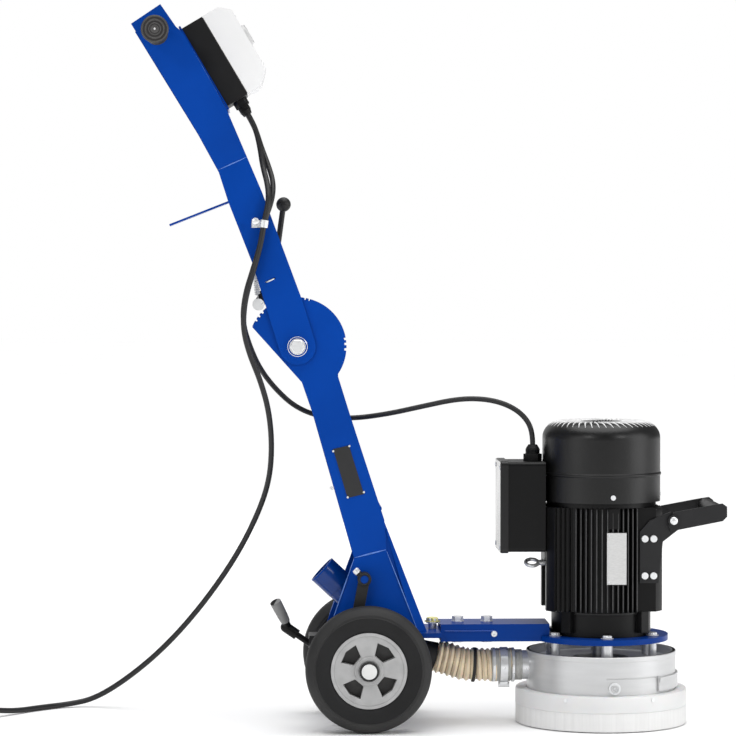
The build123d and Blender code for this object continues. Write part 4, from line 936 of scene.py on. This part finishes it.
def add_frame_details():
    """Welds, painted highlights along folded and cut edges, rivets, studs and the lip of the dust port.
    """
    for side, suffix in SIDES:
        for name, a, b, radius in WELDS:
            seam_bead(name + suffix, on_side(a, side), on_side(b, side), radius, "chassis")
        for name, a, b, radius, body in BRIGHT_EDGES:
            edge_highlight(name + suffix, on_side(a, side), on_side(b, side), radius, body)
        place = on_side((204, 40.0, 146.5), side)
        socket_head("beam_screw_" + suffix, place, (0, side, 0), 0.0050, 0.0028, "zinc", "chassis")
    low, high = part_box("label_plate")
    centre = (low + high) / 2
    centre.y = low.y
    slope = Vector(LABEL_SLOPE).normalized()
    across = Vector((slope.z, 0, -slope.x))
    for i, (s, t) in enumerate(((-1, -1), (1, -1), (-1, 1), (1, 1))):
        place = centre + slope * LABEL_RIVET_REACH[0] * t + across * LABEL_RIVET_REACH[1] * s
        socket_head("label_rivet_%d" % i, place, (0, -1, 0), 0.0017, 0.0009, "cap_white", "chassis")
    hexagon("level_nut", at(107, 0, 162.2), UP, 0.017, 0.0070, "yellow_zinc", "chassis")
    socket_head("upright_stud", at(-57, -57.0, 382), (0, -1, 0), 0.0030, 0.0020, "zinc", "chassis")
    seam_bead("port_weld", at(-12, -24.2, 192), at(22, -24.2, 160), 0.0014, "chassis")
    lip = [(0.0240, 0.0004), (0.0243, 0.0014), (0.0240, 0.0026), (0.0220, 0.0026), (0.0217, 0.0004)]
    lathe("port_lip", at(-71.5, 0, 247.8), PORT_SLOPE, lip, "blue_paint", "chassis", closed=True)


# ---------------------------------------------------------------- motor pieces

FINS_R = 0.0921
FIN_TIPS = 13               # fin tips with a painted highlight on each side
GRILLE_BARS = 48
GRILLE_TOP = 0.4852
COVER_EDGE_R = 0.069        # the cover's top turns down outside this radius
COVER_ROUND = 0.026
GLAND_TOP = (269, 0, 433.5)
NAMEPLATE_R = 0.0935
SHIELD_Z = 0.1795
LIFT_PIN = (AXLE_X + 0.4874, 0.330)


def on_spindle(radius, degrees, height):
    a = math.radians(degrees)
    return Vector((HEAD_X + radius * math.cos(a), radius * math.sin(a), height))


def add_box_details():
    """The terminal box: screws and glossy face of its lid, and the ribs of the gland."""
    for i, (y, z) in enumerate(((-42, 286), (42, 286), (-42, 414), (42, 414))):
        place = at(213.0, y, z)
        socket_head("lid_screw_%d" % i, place, (-1, 0, 0), 0.0042, 0.0016, "zinc", "chassis")
    face = [at(214.5, y, z) for y, z in ((-49, 277.5), (-49, 422.5), (49, 422.5), (49, 277.5))]
    slab("lid_face", face, 0.0016, "lid_gloss", "chassis", bevel=0.0005)
    rings = []
    for i in range(4):
        place = at(*GLAND_TOP) + Vector((0, 0, 0.0022 * i))
        rings.append(torus("rib", place, UP, 0.0112, 0.0007, "black_plastic", None, around=40))
    join("motor_gland_ribs", rings, "chassis")


def add_grille():
    """Swirled bars over the fan cover's top, pale as a painted highlight, and its screws."""
    steps = 6
    bars = []
    for i in range(GRILLE_BARS):
        line = []
        for k in range(steps + 1):
            radius = 0.034 + 0.052 * k / steps
            past = max(0.0, radius - COVER_EDGE_R)
            drop = COVER_ROUND - math.sqrt(COVER_ROUND ** 2 - past ** 2)
            width = 0.0019 * math.sin(math.pi * (0.12 + 0.8 * k / steps))
            turn = 360 / GRILLE_BARS * i + 14 * k / steps
            line.append((on_spindle(radius, turn, GRILLE_TOP - drop), width))
        # painted highlight: the bars are pale for the light on the grille's ribs
        bars.append(skin("bar", line, "grille_highlight", None, around=8, sharp=180))
    join("grille_bars", bars, "chassis")
    for i in range(4):
        place = on_spindle(0.062, 45 + 90 * i, GRILLE_TOP - 0.0002)
        socket_head("grille_screw_%d" % i, place, UP, 0.0032, 0.0006, "zinc", "chassis")


def add_motor_details():
    """Rivets, painted highlights on the fin tips, plate bolts, the lifting handle's pins and the lower
    shield's rim.
    """
    low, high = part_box("nameplate")
    for i, (x, z) in enumerate(((low.x + 0.003, low.z + 0.004), (high.x - 0.004, low.z + 0.004),
                                (low.x + 0.003, high.z - 0.004), (high.x - 0.004, high.z - 0.004))):
        y = -math.sqrt(NAMEPLATE_R ** 2 - (x - HEAD_X) ** 2)
        out = Vector((x - HEAD_X, y, 0))
        socket_head("plate_rivet_%d" % i, Vector((x, y, z)), out, 0.0015, 0.0007, "zinc", "chassis")
    for i in range(6):
        place = on_spindle(0.090, -90 + 60 * i, 0.1432)
        hexagon("plate_bolt_%d" % i, place, UP, 0.0134, 0.0054, "zinc", "chassis")
    # painted highlight: pale strips on the fin tips stand in for the light they catch
    levels = ((0.185, 0.0006), (0.192, 0.0010), (0.342, 0.0010), (0.349, 0.0006))
    tips = []
    for half in (0, 180):
        for i in range(FIN_TIPS):
            turn = -122 + 64 * i / (FIN_TIPS - 1) + half
            stations = [(on_spindle(FINS_R, turn, z), radius) for z, radius in levels]
            tips.append(skin("tip", stations, "fin_tip_highlight", None, around=8, sharp=180))
    join("fin_tip_highlights", tips, "chassis")
    cap = [(0.0062, -0.0010), (0.0062, 0.0006), (0.0050, 0.0018), (0.0028, 0.0024), (POLE, 0.0026)]
    for side, suffix in SIDES:
        face = Vector((LIFT_PIN[0], side * abs(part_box("lift_bracket")[0].y), LIFT_PIN[1]))
        lathe("lift_pin_cap_" + suffix, face, (0, side, 0), cap, "zinc", "chassis", around=40)
    rim = [(0.0800, 0.0), (0.0812, 0.0006), (0.0812, 0.0030), (0.0800, 0.0036)]
    lathe("shield_rim", Vector((HEAD_X, 0, SHIELD_Z)), UP, rim, "motor_black", "chassis", around=128)


# ---------------------------------------------------------------- grinding head and clamping levers

HEAD_SCREW_TURN = -86       # degrees round the housing
HEAD_SCREW_Z = 0.068
HOUSING_R = 0.1202
SLEEVE_START = (-122.5, 0, 149.4)
SLEEVE_END = (-146, -20, 197)
EYE = (-5.4, -84.2, 238.8)


def add_head_details():
    """Rings round the washer screw, and the machined rim of the cast housing."""
    out = on_spindle(1, HEAD_SCREW_TURN, 0) - Vector((HEAD_X, 0, 0))
    seat = on_spindle(HOUSING_R, HEAD_SCREW_TURN, HEAD_SCREW_Z)
    torus("washer_ring", seat, out, 0.0082, 0.0012, "cast_aluminium", "chassis", around=48)
    face = seat + out * 0.0042
    grooves = (("washer_groove_57", 0.0058, 0.0009), ("washer_groove_30", 0.0030, 0.0008))
    for name, radius, tube in grooves:
        torus(name, face, out, radius, tube, "cast_aluminium", "chassis", around=48)
    rim = [(0.1201, 0.1090), (0.1206, 0.1096), (0.1206, 0.1160), (0.1198, 0.1170), (0.1150, 0.1170)]
    lathe("housing_rim", (HEAD_X, 0, 0), UP, rim, "cast_aluminium", "chassis", around=160)


def add_lever_details():
    """Grey sleeve on the rear lever, and the bright end and the eye of the near one."""
    start = at(*SLEEVE_START)
    tip = at(*SLEEVE_END)
    shape = ((0.30, 0.0072), (0.34, 0.0078), (0.55, 0.0086), (0.9, 0.0092), (1.0, 0.0090))
    line = [(start.lerp(tip, t), radius) for t, radius in shape]
    skin("rear_lever_sleeve", line, "grip_grey", "rear_lever", around=28)
    a = at(-15.2, -74, 248.6)
    b = at(-20.6, -74, 254.0)
    line = [(a, 0.0052), (a.lerp(b, 0.7), 0.0054), (b, 0.0044)]
    skin("near_lever_tip", line, "zinc", "near_lever", around=24)
    eye = at(*EYE)
    torus("near_lever_ring", eye, (0, 1, 0), 0.0085, 0.0016, "black_paint", "near_lever", around=48)
    plug = [(0.0066, -0.001), (0.0062, 0.0), (POLE, 0.0)]
    inside = eye + Vector((0, -0.0002, 0))
    lathe("near_lever_eye", inside, (0, -1, 0), plug, "blue_paint", "near_lever", around=32)


add_camera()
FINISH = {**make_slot_finishes(), **make_detail_finishes()}
add_studio()
dress_nodes()
add_cords()
for wheel_side, wheel_suffix in SIDES:
    add_wheel(wheel_side, wheel_suffix)
add_hose()
add_hose_fittings()
add_skirt()
add_grips()
add_switch_details()
add_handle_details()
add_frame_details()
add_box_details()
add_grille()
add_motor_details()
add_head_details()
add_lever_details()
